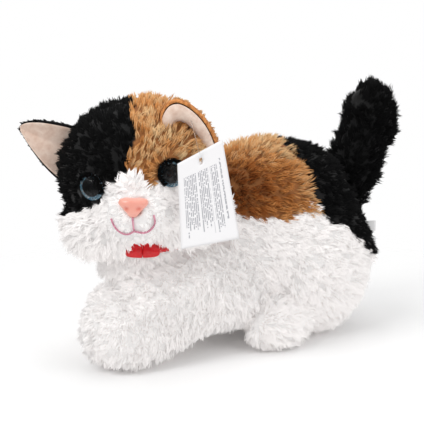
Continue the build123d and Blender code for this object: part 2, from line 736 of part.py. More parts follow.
def tag_plane():
    azimuth, elevation = math.radians(TAG_AZIMUTH), math.radians(TAG_ELEVATION)
    level = math.cos(elevation)
    normal = (level * math.cos(azimuth), level * math.sin(azimuth), math.sin(elevation))
    return Plane(origin=TAG_HOLE, x_dir=(-math.sin(azimuth), math.cos(azimuth), 0), z_dir=normal)


def hang_tag():
    outline = fillet(make_face(Polyline(*TAG_OUTLINE, close=True)).vertices(), 1.5)
    card = Pos(0, 0, -TAG_THICKNESS / 2) * extrude(outline, TAG_THICKNESS)
    return tag_plane() * (card - Cylinder(1.6, 4))


def tag_loop():
    """Thin plastic ring through the card's hole, its far side sewn in at the left ear's root."""
    hole, normal = Vector(*TAG_HOLE), tag_plane().z_dir
    root = (HEAD_PLACE * Pos(*TAG_ROOT)).position
    towards_root = (root - hole).normalized()
    ring_plane = Plane(origin=(hole + root) / 2, x_dir=towards_root, z_dir=towards_root.cross(normal))
    return ring_plane * Torus((root - hole).length / 2, 0.45)


def eye_socket(side):
    """Room in the plush for one eye: its back and dome, the stem and the locking washer."""
    return at_eye(side, disc(EYE_RADIUS, -2.5, 12) + disc(3, -13, -2) + disc(7, -12, -10.6))


def head_plush():
    shape = head_outer()
    shape -= skull_room()
    shape -= Pos(-3, 18.5, -60) * Cylinder(19, 60)
    shape -= rod_z(9.5, (38, 49.5), *HEAD_BUTTON_XY)
    for side in (1, -1):
        shape -= eye_socket(side)
    shape -= nose_local()
    shape -= mouth_local()
    return one(in_head(shape))


def collar_ribbon():
    width = (CHEST_TOP, CHEST_TOP + 5)
    return rod_z(31, width, *NECK_XY) - rod_z(28.5, width, *NECK_XY)


def side_label():
    return Pos(24, 131, 96) * Rot(0, 0, -20) * Box(1.2, 9, 9)


# ---------------------------------------------------------------- the whole toy
def build_parts():
    parts = {}
    parts["torso_plush"] = torso_plush()
    parts["hind_leg_left"] = hind_leg(1)
    parts["hind_leg_right"] = hind_leg(-1)
    parts["collar_ribbon"] = collar_ribbon()
    parts["side_label"] = side_label() - torso_body()

    body = case_body()
    below = block((-60, 60), (-160, 120), (0, CASE_SPLIT))
    parts["case_lower"] = one(body & below)
    parts["case_upper"] = one(body - below)
    parts["case_screws"] = case_screws()
    parts["battery_cells"] = battery_cells()
    parts["battery_contacts"] = battery_contacts()
    parts["battery_door"] = battery_door()
    parts["battery_door_screw"] = battery_door_screw()
    parts["circuit_board"] = circuit_board()
    parts["speaker"] = speaker()
    parts["power_switch"] = power_switch()
    parts["power_switch_slider"] = power_switch_slider()
    parts["wiring_loom"] = wiring_loom()
    parts["back_button"] = back_button()
    parts["back_button_spring"] = back_button_spring()

    parts["leg_motor"] = leg_motor()
    parts["leg_motor_pinion"] = leg_motor_pinion()
    parts["reduction_gear"] = reduction_gear()
    parts["transfer_gear_left"] = transfer_gear(UPPER_TRANSFER, 0, LEFT_PINION_PHASE, LEG_PLANE)
    parts["transfer_gear_right"] = transfer_gear(
        LOWER_TRANSFER, LOWER_TRANSFER_PHASE, RIGHT_PINION_PHASE, (-LEG_PLANE[1], -LEG_PLANE[0])
    )
    parts["gear_axles"] = gear_axles()
    parts["shoulder_axle"] = rod_x(2, AXLE_X, *SHOULDER_YZ)
    parts["shaft_bushes"] = shaft_bushes()
    parts["gear_motors"] = gear_motors()

    parts["foreleg_gear_left"] = foreleg_gear(1)
    parts["foreleg_gear_right"] = foreleg_gear(-1)
    parts["foreleg_bone_left"] = bone((-140, 32))
    parts["foreleg_bone_right"] = mirrored(bone((-100, 30)))
    parts["foreleg_plush_left"] = foreleg_cover(foreleg_left_outer(), parts["foreleg_bone_left"], 1)
    parts["foreleg_plush_right"] = foreleg_cover(
        foreleg_right_outer(), parts["foreleg_bone_right"], -1
    )

    parts["neck_post"] = neck_post()
    parts["neck_gear"] = neck_gear()
    parts["head_turn_pinion"] = head_turn_pinion()
    parts["tail_armature"] = tail_armature()
    parts["tail_gear"] = tail_gear()
    parts["tail_pinion"] = tail_pinion()
    parts["tail_plush"] = one(tail_plush_outer() - parts["tail_armature"])

    parts["nod_pin"] = nod_pin()
    parts["skull_front"] = skull(True)
    parts["skull_rear"] = skull(False)
    parts["head_button"] = head_button()
    parts["head_button_spring"] = head_button_spring()
    parts["eye_backs"] = pair_of_eyes(eye_back())
    parts["eye_glitter"] = pair_of_eyes(eye_glitter())
    parts["eye_lenses"] = pair_of_eyes(eye_lens())
    parts["eye_washers"] = pair_of_eyes(eye_washer())
    parts["nose"] = in_head(nose_local())
    parts["mouth_thread"] = in_head(mouth_local())
    for name, shape in ears().items():
        parts[name] = in_head(shape)
    parts["tag_loop"] = tag_loop()
    parts["hang_tag"] = hang_tag()
    parts["head_plush"] = head_plush()
    return parts


def main():
    os.makedirs("parts", exist_ok=True)
    for name, shape in build_parts().items():
        export_step(Pos(*ORIGIN_SHIFT) * shape, f"parts/{name}.step")


main()
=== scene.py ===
import json
import math

import bmesh
import bpy
import numpy as np
from mathutils import Matrix, Vector
from mathutils.bvhtree import BVHTree

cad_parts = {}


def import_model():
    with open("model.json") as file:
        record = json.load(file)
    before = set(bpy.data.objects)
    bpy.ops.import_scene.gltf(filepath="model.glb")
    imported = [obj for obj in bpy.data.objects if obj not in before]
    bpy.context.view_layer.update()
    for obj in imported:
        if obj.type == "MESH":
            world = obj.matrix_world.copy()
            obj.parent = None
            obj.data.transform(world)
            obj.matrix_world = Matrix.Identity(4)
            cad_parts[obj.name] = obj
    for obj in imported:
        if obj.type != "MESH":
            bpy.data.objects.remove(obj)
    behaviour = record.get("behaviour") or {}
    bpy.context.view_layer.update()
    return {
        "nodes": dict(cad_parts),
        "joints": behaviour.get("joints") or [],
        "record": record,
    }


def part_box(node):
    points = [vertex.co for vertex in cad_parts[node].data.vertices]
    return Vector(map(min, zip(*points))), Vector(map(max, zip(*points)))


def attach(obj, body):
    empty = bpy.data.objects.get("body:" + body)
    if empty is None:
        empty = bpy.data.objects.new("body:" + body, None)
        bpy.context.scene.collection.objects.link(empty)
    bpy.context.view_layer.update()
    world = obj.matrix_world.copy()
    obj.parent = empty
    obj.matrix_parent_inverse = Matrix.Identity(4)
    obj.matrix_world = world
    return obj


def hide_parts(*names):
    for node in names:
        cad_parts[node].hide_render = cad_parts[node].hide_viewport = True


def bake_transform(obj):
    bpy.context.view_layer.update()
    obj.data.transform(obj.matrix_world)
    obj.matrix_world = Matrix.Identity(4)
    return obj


# Interactive plush kitten: fur, ears, nose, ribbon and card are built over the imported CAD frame.
# Shapes are worked out in a design frame, in millimetres: x = 0 is the body's centre plane, the
# kitten faces -Y, its left is +X, the floor is z = 0. world() turns them into the frame's metres.

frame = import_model()
JOINTS = {joint["name"]: joint for joint in frame["joints"]}
NODE_SLOT = {part["node"]: part["material_slot"] for part in frame["record"]["subparts"]}

MM = 0.001
UP = np.array((0.0, 0.0, 1.0))
HEAD_TURN_AT = np.array((0.0, -111.0, 100.0))
NOD_AT = np.array((0.0, -111.0, 140.0))
HEAD_PIVOT_LOCAL = np.array((-4.5, 14.4, -26.6))
ORIGIN = np.array(JOINTS["head_turn"]["pos_m"]) / MM - HEAD_TURN_AT

HEAD_LEFT = -np.array(JOINTS["head_nod"]["axis"])
HEAD_UP = -np.array(JOINTS["head_button_press"]["axis"])
HEAD_AXES = np.stack((HEAD_LEFT, np.cross(HEAD_UP, HEAD_LEFT), HEAD_UP), axis=1)
HEAD_CENTRE = NOD_AT - HEAD_AXES @ HEAD_PIVOT_LOCAL


def world(points):
    """Design millimetres to the frame's metres."""
    return (np.asarray(points, float) + ORIGIN) * MM


def design(points):
    """The frame's metres to design millimetres."""
    return np.asarray(points, float) / MM - ORIGIN


def from_head(points):
    """The head's own frame (left, back, up about its centre) to the design frame."""
    return np.asarray(points, float) @ HEAD_AXES.T + HEAD_CENTRE


def to_head(points):
    """The design frame to the head's own frame."""
    return (np.asarray(points, float) - HEAD_CENTRE) @ HEAD_AXES


def unit(vectors):
    return vectors / np.maximum(np.linalg.norm(vectors, axis=-1, keepdims=True), 1e-9)


def waves(points, wavelength, seed, count=12):
    """A smooth random field, mostly within -1 to 1, from a seeded sum of plane waves."""
    rng = np.random.default_rng(seed)
    directions = unit(rng.normal(size=(count, 3)))
    rates = 2 * math.pi / wavelength * rng.uniform(0.6, 1.5, count)
    phases = rng.uniform(0, 2 * math.pi, count)
    return np.cos(points @ (directions * rates[:, None]).T + phases).sum(1) / math.sqrt(2 * count)


def step_between(values, low, high):
    """A smooth step from 0 at low to 1 at high."""
    share = np.clip((values - low) / (high - low), 0, 1)
    return share * share * (3 - 2 * share)


# ---------------------------------------------------------------- materials
class Nodes:
    """Short calls for building a material's node tree."""

    def __init__(self, name):
        self.material = bpy.data.materials.new(name)
        self.material.use_nodes = True
        self.tree = self.material.node_tree
        self.shader = self.tree.nodes["Principled BSDF"]

    def add(self, kind, **values):
        node = self.tree.nodes.new(kind)
        for key, value in values.items():
            if hasattr(node, key):
                setattr(node, key, value)
            else:
                node.inputs[key.replace("_", " ")].default_value = value
        return node

    def link(self, source, target):
        self.tree.links.new(source, target)

    def settings(self, **values):
        """Values for the shader's inputs, an underscore standing for a space."""
        for name, value in values.items():
            self.shader.inputs[name.replace("_", " ")].default_value = value

    def ramp(self, source, stops):
        """Colours by a source of 0 to 1, from (place, colour) stops."""
        node = self.add("ShaderNodeValToRGB")
        elements = node.color_ramp.elements
        stops = tuple(stops)
        while len(elements) < len(stops):
            elements.new(0.5)
        for element, (place, colour) in zip(elements, stops):
            element.position = place
            element.color = (*colour, 1)
        self.link(source, node.inputs["Fac"])
        return node.outputs["Color"]

    def texture(self, kind, **values):
        """A texture node that reads places on the object itself."""
        coordinates = self.add("ShaderNodeTexCoord")
        node = self.add(kind, **values)
        self.link(coordinates.outputs["Object"], node.inputs["Vector"])
        return node

    def noise(self, scale, detail=3.0, roughness=0.55):
        node = self.texture("ShaderNodeTexNoise", Scale=scale, Detail=detail, Roughness=roughness)
        return node.outputs["Fac"]

    def uv(self, name):
        """The two coordinates of a UV layer."""
        place = self.add("ShaderNodeUVMap", uv_map=name)
        split = self.add("ShaderNodeSeparateXYZ")
        self.link(place.outputs["UV"], split.inputs["Vector"])
        return split.outputs["X"], split.outputs["Y"]

    def mix(self, kind, factor, first, second):
        """Two colours mixed; each of the three is a socket or a plain value."""
        node = self.add("ShaderNodeMix", data_type="RGBA", blend_type=kind)
        for key, value in (("Factor", factor), ("A", first), ("B", second)):
            if isinstance(value, (int, tuple)):
                node.inputs[key].default_value = value
            else:
                self.link(value, node.inputs[key])
        return node.outputs["Result"]

    def calculate(self, operation, *values):
        """One step of arithmetic on sockets or plain numbers."""
        node = self.add("ShaderNodeMath", operation=operation)
        for socket, value in zip(node.inputs, values):
            if isinstance(value, (int, float)):
                socket.default_value = value
            else:
                self.link(value, socket)
        return node.outputs["Value"]

    def colour(self, source):
        self.link(source, self.shader.inputs["Base Color"])

    def bump(self, height, strength, distance=0.001):
        node = self.add("ShaderNodeBump", Strength=strength, Distance=distance)
        self.link(height, node.inputs["Height"])
        self.link(node.outputs["Normal"], self.shader.inputs["Normal"])

    def vary(self, source, low, high, socket):
        """Let a shader input run from low to high with a source of 0 to 1."""
        node = self.add("ShaderNodeMapRange", To_Min=low, To_Max=high)
        self.link(source, node.inputs["Value"])
        self.link(node.outputs["Result"], self.shader.inputs[socket])


def shade(colour, amount):
    return tuple(min(1.0, channel * amount) for channel in colour)


def plain_surface(name, colour, roughness, metal=0.0, grain=900, bump=0.15, coat=0.0):
    """Moulded or metal finish: slight colour mottling, uneven gloss and a fine surface grain."""
    made = Nodes(name)
    cloud = made.noise(grain * 0.12)
    made.colour(made.ramp(cloud, [(0.3, shade(colour, 0.88)), (0.7, shade(colour, 1.12))]))
    made.vary(cloud, roughness * 0.8, min(1, roughness * 1.25), "Roughness")
    made.settings(Metallic=metal, Coat_Weight=coat)
    made.bump(made.noise(grain), bump, 0.0002)
    return made.material


def woven_material(name, scale, distortion, colours, bump, **settings):
    """Thread or tape: fine bands from the dark colour to the light one, raised by the same bands."""
    made = Nodes(name)
    weave = made.texture("ShaderNodeTexWave", Scale=scale, Distortion=distortion).outputs["Fac"]
    made.colour(made.ramp(weave, zip((0.2, 0.8), colours)))
    made.settings(**settings)
    made.bump(weave, *bump)
    return made.material


FUR_COLOURS = {
    "white": [
        (0.0, (0.88, 0.84, 0.82)),
        (0.5, (0.97, 0.94, 0.925)),
        (1.0, (1.0, 0.98, 0.97)),
    ],
    "black": [
        (0.0, (0.001, 0.001, 0.0012)),
        (0.6, (0.0028, 0.0028, 0.003)),
        (1.0, (0.0055, 0.0052, 0.0055)),
    ],
    "orange": [
        (0.0, (0.13, 0.030, 0.006)),
        (0.3, (0.36, 0.105, 0.020)),
        (0.6, (0.70, 0.300, 0.090)),
        (1.0, (0.90, 0.640, 0.350)),
    ],
}
WHITE_GLOW = 0.27  # stands in for light scattered between white fibres
FUR_ROUGHNESS, PILE_ROUGHNESS = 0.75, 0.95


def fur_material(colour):
    """Colour by the strand's tone across u, with painted shade along v that darkens it towards the root, deep
    in the pile.
    """
    white = colour == "white"
    made = Nodes("fur_" + colour)
    across, up = made.uv("OFBake")
    # Painted shade: each strand is darker towards its root, where the pile shades itself; only slightly so on
    # white fur.
    root = 0.95 if white else 0.5
    painted_root_shade = made.ramp(up, [(0.0, (root,) * 3), (0.55, (0.95,) * 3), (1.0, (1.0,) * 3)])
    made.colour(made.mix("MULTIPLY", 1, made.ramp(across, FUR_COLOURS[colour]), painted_root_shade))
    made.settings(Roughness=FUR_ROUGHNESS, Specular_IOR_Level=0.1)
    made.settings(Sheen_Weight=0.3 if white else 0.02, Sheen_Roughness=0.6)
    if white:
        made.settings(Emission_Color=(1.0, 0.95, 0.935, 1), Emission_Strength=WHITE_GLOW)
    return made.material


def backing_material():
    """Cloth under the fur: its patch colour from the mesh, with a matted pile bump."""
    made = Nodes("plush_backing")
    patch = made.add("ShaderNodeAttribute", attribute_name="patch")
    cloud = made.ramp(made.noise(420), [(0.25, (0.86,) * 3), (0.75, (1.0,) * 3)])
    made.colour(made.mix("MULTIPLY", 1, patch.outputs["Color"], cloud))
    made.settings(Roughness=PILE_ROUGHNESS, Sheen_Weight=0.15)
    made.bump(made.noise(900), 0.5, 0.001)
    return made.material


def cloth_of(colour):
    """Short matted pile on the back of an ear and on the neck sleeve."""
    made = Nodes("pile_" + colour)
    stops = FUR_COLOURS[colour]
    dark, light = shade(stops[1][1], 0.9), shade(stops[-2][1], 1.2)
    made.colour(made.ramp(made.noise(300), [(0.3, dark), (0.7, light)]))
    made.settings(Roughness=PILE_ROUGHNESS)
    made.bump(made.noise(1500), 0.6, 0.0006)
    return made.material


def velour_material():
    made = Nodes("ear_velour")
    made.colour(made.ramp(made.noise(160), [(0.3, (0.74, 0.53, 0.42)), (0.7, (0.92, 0.75, 0.64))]))
    made.settings(Roughness=PILE_ROUGHNESS, Sheen_Weight=0.5)
    made.bump(made.noise(2600, 2.0), 0.45, 0.0004)
    return made.material


FUR = {colour: fur_material(colour) for colour in FUR_COLOURS}
FUR_CLOTH = {colour: cloth_of(colour) for colour in FUR_COLOURS}
PILE = backing_material()
VELOUR = velour_material()


# ---------------------------------------------------------------- soft skins from CAD solids
def add_ellipsoid(shape, centre, radii, lean=0.0):
    """A ball scaled to the radii, leaned about X, at a design-frame centre."""
    place = Matrix.Translation(Vector(world(centre))) @ Matrix.Rotation(math.radians(lean), 4, "X")
    size = Matrix.Diagonal((*(radius * MM for radius in radii), 1))
    bmesh.ops.create_uvsphere(shape, u_segments=48, v_segments=24, radius=1, matrix=place @ size)


def place_in_scene(name, data):
    obj = bpy.data.objects.new(name, data)
    bpy.context.scene.collection.objects.link(obj)
    return obj


def skin_from(name, node, voxel, rounds, fillings=()):
    """Voxel-remeshed and relaxed copy of a CAD cover, joined with ball-shaped fillings."""
    joined = bmesh.new()
    joined.from_mesh(frame["nodes"][node].data)
    for filling in fillings:
        add_ellipsoid(joined, *filling)
    mesh = bpy.data.meshes.new(name + "_source")
    joined.to_mesh(mesh)
    joined.free()
    source = place_in_scene(name + "_source", mesh)
    remesh = source.modifiers.new("remesh", "REMESH")
    remesh.mode = "VOXEL"
    remesh.voxel_size = voxel * MM
    relax = source.modifiers.new("relax", "SMOOTH")
    relax.factor, relax.iterations = 0.5, rounds
    graph = bpy.context.evaluated_depsgraph_get()
    final = bpy.data.meshes.new_from_object(source.evaluated_get(graph))
    bpy.data.objects.remove(source)
    return place_in_scene(name, final)


def vertices_of(obj):
    flat = np.zeros(len(obj.data.vertices) * 3)
    obj.data.vertices.foreach_get("co", flat)
    return design(flat.reshape(-1, 3))


def normals_of(obj):
    flat = np.zeros(len(obj.data.vertices) * 3)
    obj.data.vertices.foreach_get("normal", flat)
    return flat.reshape(-1, 3)


def move_vertices(obj, points):
    obj.data.vertices.foreach_set("co", world(points).ravel())
    obj.data.update()


def paint(obj, colours):
    """A colour for each vertex: the patch colour on a skin, and the painted shade of the nostril hollows on
    the nose.
    """
    layer = obj.data.color_attributes.new("patch", "FLOAT_COLOR", "POINT")
    layer.data.foreach_set("color", np.c_[colours, np.ones(len(colours))].ravel())


def dress(obj, material, nodes=()):
    obj.data.materials.clear()
    obj.data.materials.append(material)
    obj.data.shade_smooth()
    if nodes:
        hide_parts(*nodes)


def finish_piece(obj, body, material, nodes=()):
    dress(obj, material, nodes)
    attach(obj, body)


def mesh_object(name, points, faces):
    """A new mesh from design-frame points."""
    mesh = bpy.data.meshes.new(name)
    mesh.from_pydata(world(points).tolist(), [], faces)
    mesh.update()
    return place_in_scene(name, mesh)


def quad_faces(rows, columns, closed=False, start=0):
    """Quads between rows of points; closed rows are rings."""
    faces = []
    for row in range(rows - 1):
        for column in range(columns if closed else columns - 1):
            low, following = start + row * columns, (column + 1) % columns
            faces.append((low + column, low + following, low + columns + following, low + columns + column))
    return faces


def capped_tube(rows, columns):
    """Faces of a closed body from rings of points."""
    first = tuple(range(columns))[::-1]
    last = tuple((rows - 1) * columns + i for i in range(columns))
    return [*quad_faces(rows, columns, closed=True), first, last]


def turns(steps):
    """Angles of evenly spaced places round a circle."""
    return [2 * math.pi * i / steps for i in range(steps)]


def thicken(obj, thickness, smooth_levels=1):
    """Make a solid of a sheet, rounded by subdivision."""
    solid = obj.modifiers.new("thickness", "SOLIDIFY")
    solid.thickness, solid.offset = thickness * MM, 0
    if smooth_levels:
        rounding = obj.modifiers.new("rounding", "SUBSURF")
        rounding.levels = rounding.render_levels = smooth_levels
    graph = bpy.context.evaluated_depsgraph_get()
    final = bpy.data.meshes.new_from_object(obj.evaluated_get(graph))
    obj.modifiers.clear()
    obj.data = final


# ---------------------------------------------------------------- fur
def scatter(obj, spacing, seed):
    """Seeded places over a mesh: design-frame points and their surface normals."""
    mesh = obj.data
    mesh.calc_loop_triangles()
    corners = np.zeros(len(mesh.loop_triangles) * 3, np.int32)
    mesh.loop_triangles.foreach_get("vertices", corners)
    corners = corners.reshape(-1, 3)
    points, normals = vertices_of(obj), normals_of(obj)
    a, b, c = (points[corners[:, i]] for i in range(3))
    areas = np.linalg.norm(np.cross(b - a, c - a), axis=1) / 2
    rng = np.random.default_rng(seed)
    count = int(areas.sum() / spacing ** 2)
    chosen = np.searchsorted(np.cumsum(areas) / areas.sum(), rng.random(count))
    chosen = np.minimum(chosen, len(areas) - 1)
    u, v = rng.random(count), rng.random(count)
    folded = u + v > 1
    u[folded], v[folded] = 1 - u[folded], 1 - v[folded]
    weights = np.stack((1 - u - v, u, v), axis=1)[:, :, None]
    places = (points[corners[chosen]] * weights).sum(1)
    facing = unit((normals[corners[chosen]] * weights).sum(1))
    return places, facing


# Each strand has three root points, three middle ones and a tip.
STRAND_FACES = np.array((
    (0, 2, 1),
    (0, 1, 4), (0, 4, 3), (1, 2, 5), (1, 5, 4), (2, 0, 3), (2, 3, 5),
    (3, 4, 6), (4, 5, 6), (5, 3, 6),
))
RING = [(math.cos(turn), math.sin(turn)) for turn in turns(3)]
RING_SCALE = 0.8  # a strand's middle ring against its root
ROOT_DEPTH = 0.8
EVENNESS = {"white": 2.8, "orange": 1.5, "black": 1.5}  # how far strands are shaded as one surface
FLOOR_GAP = 0.3


def tangents(normals):
    """Two directions across each normal."""
    helper = np.where(np.abs(normals[:, 2:3]) < 0.9, (0.0, 0.0, 1.0), (1.0, 0.0, 0.0))
    first = unit(np.cross(helper, normals))
    return first, np.cross(normals, first)


def triangle_mesh(name, points, faces):
    mesh = bpy.data.meshes.new(name)
    mesh.vertices.add(len(points))
    mesh.vertices.foreach_set("co", world(points).astype(np.float32).ravel())
    mesh.loops.add(faces.size)
    mesh.loops.foreach_set("vertex_index", faces.astype(np.int32).ravel())
    mesh.polygons.add(len(faces))
    mesh.polygons.foreach_set("loop_start", np.arange(0, faces.size, 3, dtype=np.int32))
    mesh.polygons.foreach_set("use_smooth", np.ones(len(faces), bool))
    mesh.update()
    return mesh


def grow(name, body, slot, colour, places, normals, lay, length, tone, seed,
         per_tuft=8, width=0.9, spread=2.6, pull=0.6, lift=0.5, loose=0.22):
    """Tufts of closed, tapering strands: each tuft's tips draw together and lean along lay.

    length and tone are given for each place. The piece rides on the body, if one is named.
    """
    rng = np.random.default_rng(seed)
    count = len(places) * per_tuft
    tuft = np.repeat(np.arange(len(places)), per_tuft)
    first, second = tangents(normals)
    radius = spread * np.sqrt(rng.random(count))
    angle = rng.uniform(0, 2 * math.pi, count)
    offset = first[tuft] * (radius * np.cos(angle))[:, None]
    offset += second[tuft] * (radius * np.sin(angle))[:, None]
    lay = unit(lay - normals * (lay * normals).sum(1, keepdims=True))
    lean = unit(normals * lift + lay * (1 - lift) + rng.normal(0, loose, (len(places), 3)))
    reach = length * rng.uniform(0.8, 1.2, len(places))
    root = places[tuft] + offset - normals[tuft] * ROOT_DEPTH
    own = unit(lean[tuft] + rng.normal(0, 0.16, (count, 3)))
    size = reach[tuft] * rng.uniform(0.7, 1.12, count)
    gathered = places[tuft] + lean[tuft] * size[:, None]
    tip = (root + own * size[:, None]) * (1 - pull) + gathered * pull
    middle = (root + tip) / 2 + normals[tuft] * (size * 0.12)[:, None]
    axis = unit(tip - root)
    side = unit(np.cross(axis, unit(own + rng.normal(0, 0.5, (count, 3)))))
    other = np.cross(axis, side)
    half = width / 2 * rng.uniform(0.7, 1.25, count)
    rings = np.stack([side * x + other * y for x, y in RING], axis=1)
    low = root[:, None] + rings * half[:, None, None]
    high = middle[:, None] + rings * (half * RING_SCALE)[:, None, None]
    points = np.concatenate((low, high, tip[:, None]), axis=1).reshape(-1, 3)
    points[:, 2] = np.maximum(points[:, 2], FLOOR_GAP)
    faces = (np.arange(count)[:, None, None] * 7 + STRAND_FACES).reshape(-1, 3)
    mesh = triangle_mesh(name, points, faces)

    shade_u = np.clip(tone[tuft] + rng.normal(0, 0.07, count), 0.02, 0.98)
    nudges = np.array((-0.01, 0, 0.01, -0.01, 0, 0.01, 0))
    u = (shade_u[:, None] + nudges).ravel()
    v = np.tile((0.01, 0.01, 0.01, 0.5, 0.5, 0.5, 0.99), count)
    layer = mesh.uv_layers.new(name="OFBake")
    layer.data.foreach_set("uv", np.stack((u, v), axis=1)[faces.ravel()].astype(np.float32).ravel())

    radial = np.concatenate((rings, rings, unit(own)[:, None]), axis=1).reshape(-1, 3)
    evenness = EVENNESS[colour]
    soft = unit(np.repeat(normals[tuft], 7, axis=0) * evenness + radial)
    mesh.normals_split_custom_set_from_vertices(soft.astype(np.float32))
    mesh.materials.append(FUR[colour])
    obj = place_in_scene(name, mesh)
    if body:
        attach(obj, body)
    return obj


# ---------------------------------------------------------------- patches of colour
WHITE, ORANGE, BLACK = 0, 1, 2
COLOUR_OF_PATCH = ("white", "orange", "black")
BACKING = np.array(((0.93, 0.91, 0.90), (0.34, 0.13, 0.035), (0.003, 0.003, 0.0033)))


def torso_patch(points):
    """The colour at points of the body."""
    _, y, z = points.T
    ragged = 3.0 * waves(points, 22, 11) + 1.5 * waves(points, 8, 12)
    edge = np.interp(y, (-70, 10, 38, 62, 84, 111, 140), (126, 121, 122, 111, 97, 76, 66))
    coloured = z + ragged > edge
    behind = y + ragged > np.interp(z, (100, 150, 190), (44, 40, 30))
    return np.where(coloured, np.where(behind, BLACK, ORANGE), WHITE)


def head_patch(points):
    """The colour at points of the head, given in the head's own frame."""
    x, _, z = points.T
    ragged = 1.6 * waves(points, 14, 21) + 0.8 * waves(points, 6, 22)
    seam = np.interp(z, (10, 15, 22, 34, 47, 66), (-1, 0, 3.5, 9.5, 7, 8))
    right_edge = np.interp(x, (-80, -63, -31, -25, -8, 0), (-27, -24, -17, -7, 2, 6))
    left_edge = np.interp(x, (0, 10, 13, 16, 20, 28, 40, 55, 72), (6, 4, -10, -11, -4, -5, -2, 2, 5))
    on_right = x + 0.5 * ragged < seam
    black = on_right & (z + ragged > right_edge)
    orange = ~on_right & (z + ragged > left_edge)
    return np.where(black, BLACK, np.where(orange, ORANGE, WHITE))


def orange_tone(points, seed):
    base = 0.52 + 0.20 * waves(points, 26, seed) + 0.12 * waves(points, 9, seed + 1)
    return np.clip(base, 0.05, 0.95)


def saddle_tone(points):
    """Dark reddish middle low on the flank, lighter tan towards the top and the rump."""
    _, y, z = points.T
    dark = np.exp(-(((y + 30) / 34) ** 2 + ((z - 146) / 20) ** 2))
    light = step_between(z, 160, 184) * 0.18 + step_between(y, 8, 36) * 0.16
    mottling = 0.10 * waves(points, 20, 31) + 0.08 * waves(points, 7, 32)
    return np.clip(0.60 - 0.50 * dark + light + mottling, 0.04, 0.96)


def all_of(kind):
    """A patch function for a cover of one colour."""
    return lambda places: np.full(len(places), kind)


def fur_in_patches(name, body, skin, keep, patch, lay, length, tones, spacing, seed, **style):
    """One fur piece for each colour found on the skin, riding on the body if one is given.

    keep, patch and lay are functions of places; length and tones also take the patch's colour.
    """
    pieces = []
    places, normals = scatter(skin, spacing, seed)
    kept = keep(places)
    places, normals = places[kept], normals[kept]
    kinds = patch(places)
    for kind, colour in enumerate(COLOUR_OF_PATCH):
        here = kinds == kind
        if not here.any():
            continue
        at, facing = places[here], normals[here]
        slot = "black_plush" if colour == "black" else "white_plush"
        pieces.append(grow(f"{name}_fur_{colour}", body, slot, colour, at, facing, lay(at),
                           length(at, kind), tones(at, kind), seed + kind + 1, **style))
    return pieces


# ---------------------------------------------------------------- body
# Ellipsoids, as centre and radii, that stand for the torso and for a left haunch
TORSO_SHAPES = (((0, 28, 96), (66, 104, 92)), ((0, -80, 66), (34, 66, 62)))
HAUNCH_SHAPES = (((40, 56, 66), (34, 56, 62)), ((58, 0, 21), (22, 34, 24)))
SHOULDER_YZ = np.array((-72.0, 54.0))
SHOULDER_BARE_RADIUS, SHOULDER_BARE_X = 32, 62
# Inner walls, which carry no fur: round the mechanism case and at the battery door
CASE_BOXES = (((-37, 37), (-74, 90), (14, 80)), ((-37, 37), (-30, 90), (80, 137)))
DOOR_BOX = ((-30, 30), (-15, 82), (-2, 30))


def in_box(points, box):
    low, high = np.array(box).T
    return ((points > low) & (points < high)).all(1)


def depth_below(points, shapes, mirror=False):
    """How far points lie under the surface of a union of ellipsoids, roughly, in millimetres."""
    best = np.full(len(points), -1e3)
    for centre, radii in shapes:
        for side in ((1, -1) if mirror else (1,)):
            middle = np.array(centre) * (side, 1, 1)
            scaled = np.linalg.norm((points - middle) / radii, axis=1)
            best = np.maximum(best, (1 - scaled) * min(radii))
    return best


def pull_in(skin, amount, seed, wobble=0.8):
    """Shrink a skin, so that its pile ends near the CAD surface, and make it uneven.

    amount is in millimetres, for the whole skin or for each vertex.
    """
    points, normals = vertices_of(skin), normals_of(skin)
    uneven = wobble * waves(points, 38, seed) + 0.4 * wobble * waves(points, 14, seed + 1)
    move_vertices(skin, points - normals * (amount - uneven)[:, None])


def body_lay(places):
    """Pile on the body runs back and a little down, swirling gently."""
    left = 0.35 * waves(places, 42, 43)
    back = 0.8 + 0.35 * waves(places, 45, 41)
    up = -0.7 + 0.4 * waves(places, 40, 42)
    collar = ruff(places)[:, None]
    return np.stack((left, back, up), axis=1) * (1 - collar) + UP * collar


BODY_SPACING = 3.9
BODY_PILE = {"per_tuft": 8, "width": 0.85, "spread": 3.0, "pull": 0.45, "lift": 0.58, "loose": 0.16}


def white_tone(places):
    return np.clip(0.72 + 0.14 * waves(places, 24, 51) + 0.10 * waves(places, 7, 52), 0.05, 0.98)


def body_tones(places, kind):
    if kind == ORANGE:
        return saddle_tone(places)
    if kind == BLACK:
        return np.clip(0.42 + 0.25 * waves(places, 14, 53), 0.02, 0.98)
    return white_tone(places)


def ruff(places):
    """Share, 0 to 1, of being in the collar of longer pile that stands round the neck."""
    from_neck = np.linalg.norm(places[:, :2] - HEAD_TURN_AT[:2], axis=1)
    return (1 - step_between(from_neck, 46, 60)) * step_between(places[:, 2], 62, 76)


def body_length(places, kind):
    base = (6.8, 9.5, 7.0)[kind]
    return (base + 6 * ruff(places)) * (1 + 0.12 * waves(places, 18, 54))


def torso_keep(places):
    outer = ~in_box(places, DOOR_BOX)
    for box in CASE_BOXES:
        outer &= ~in_box(places, box)
    from_shoulder = np.linalg.norm(places[:, 1:] - SHOULDER_YZ, axis=1)
    shoulder_wall = (from_shoulder < SHOULDER_BARE_RADIUS) & (np.abs(places[:, 0]) < SHOULDER_BARE_X)
    covered = depth_below(places, HAUNCH_SHAPES, mirror=True) > 9
    return outer & ~shoulder_wall & ~covered & (places[:, 2] > 3)


def build_torso():
    skin = skin_from("torso_skin", "torso_plush", voxel=3.0, rounds=4)
    pull_in(skin, 2.5, seed=61)
    paint(skin, BACKING[torso_patch(vertices_of(skin))])
    finish_piece(skin, "torso", PILE, ["torso_plush"])
    fur_in_patches("torso", "torso", skin, torso_keep, torso_patch, body_lay, body_length, body_tones,
                   spacing=BODY_SPACING, seed=62, **BODY_PILE)


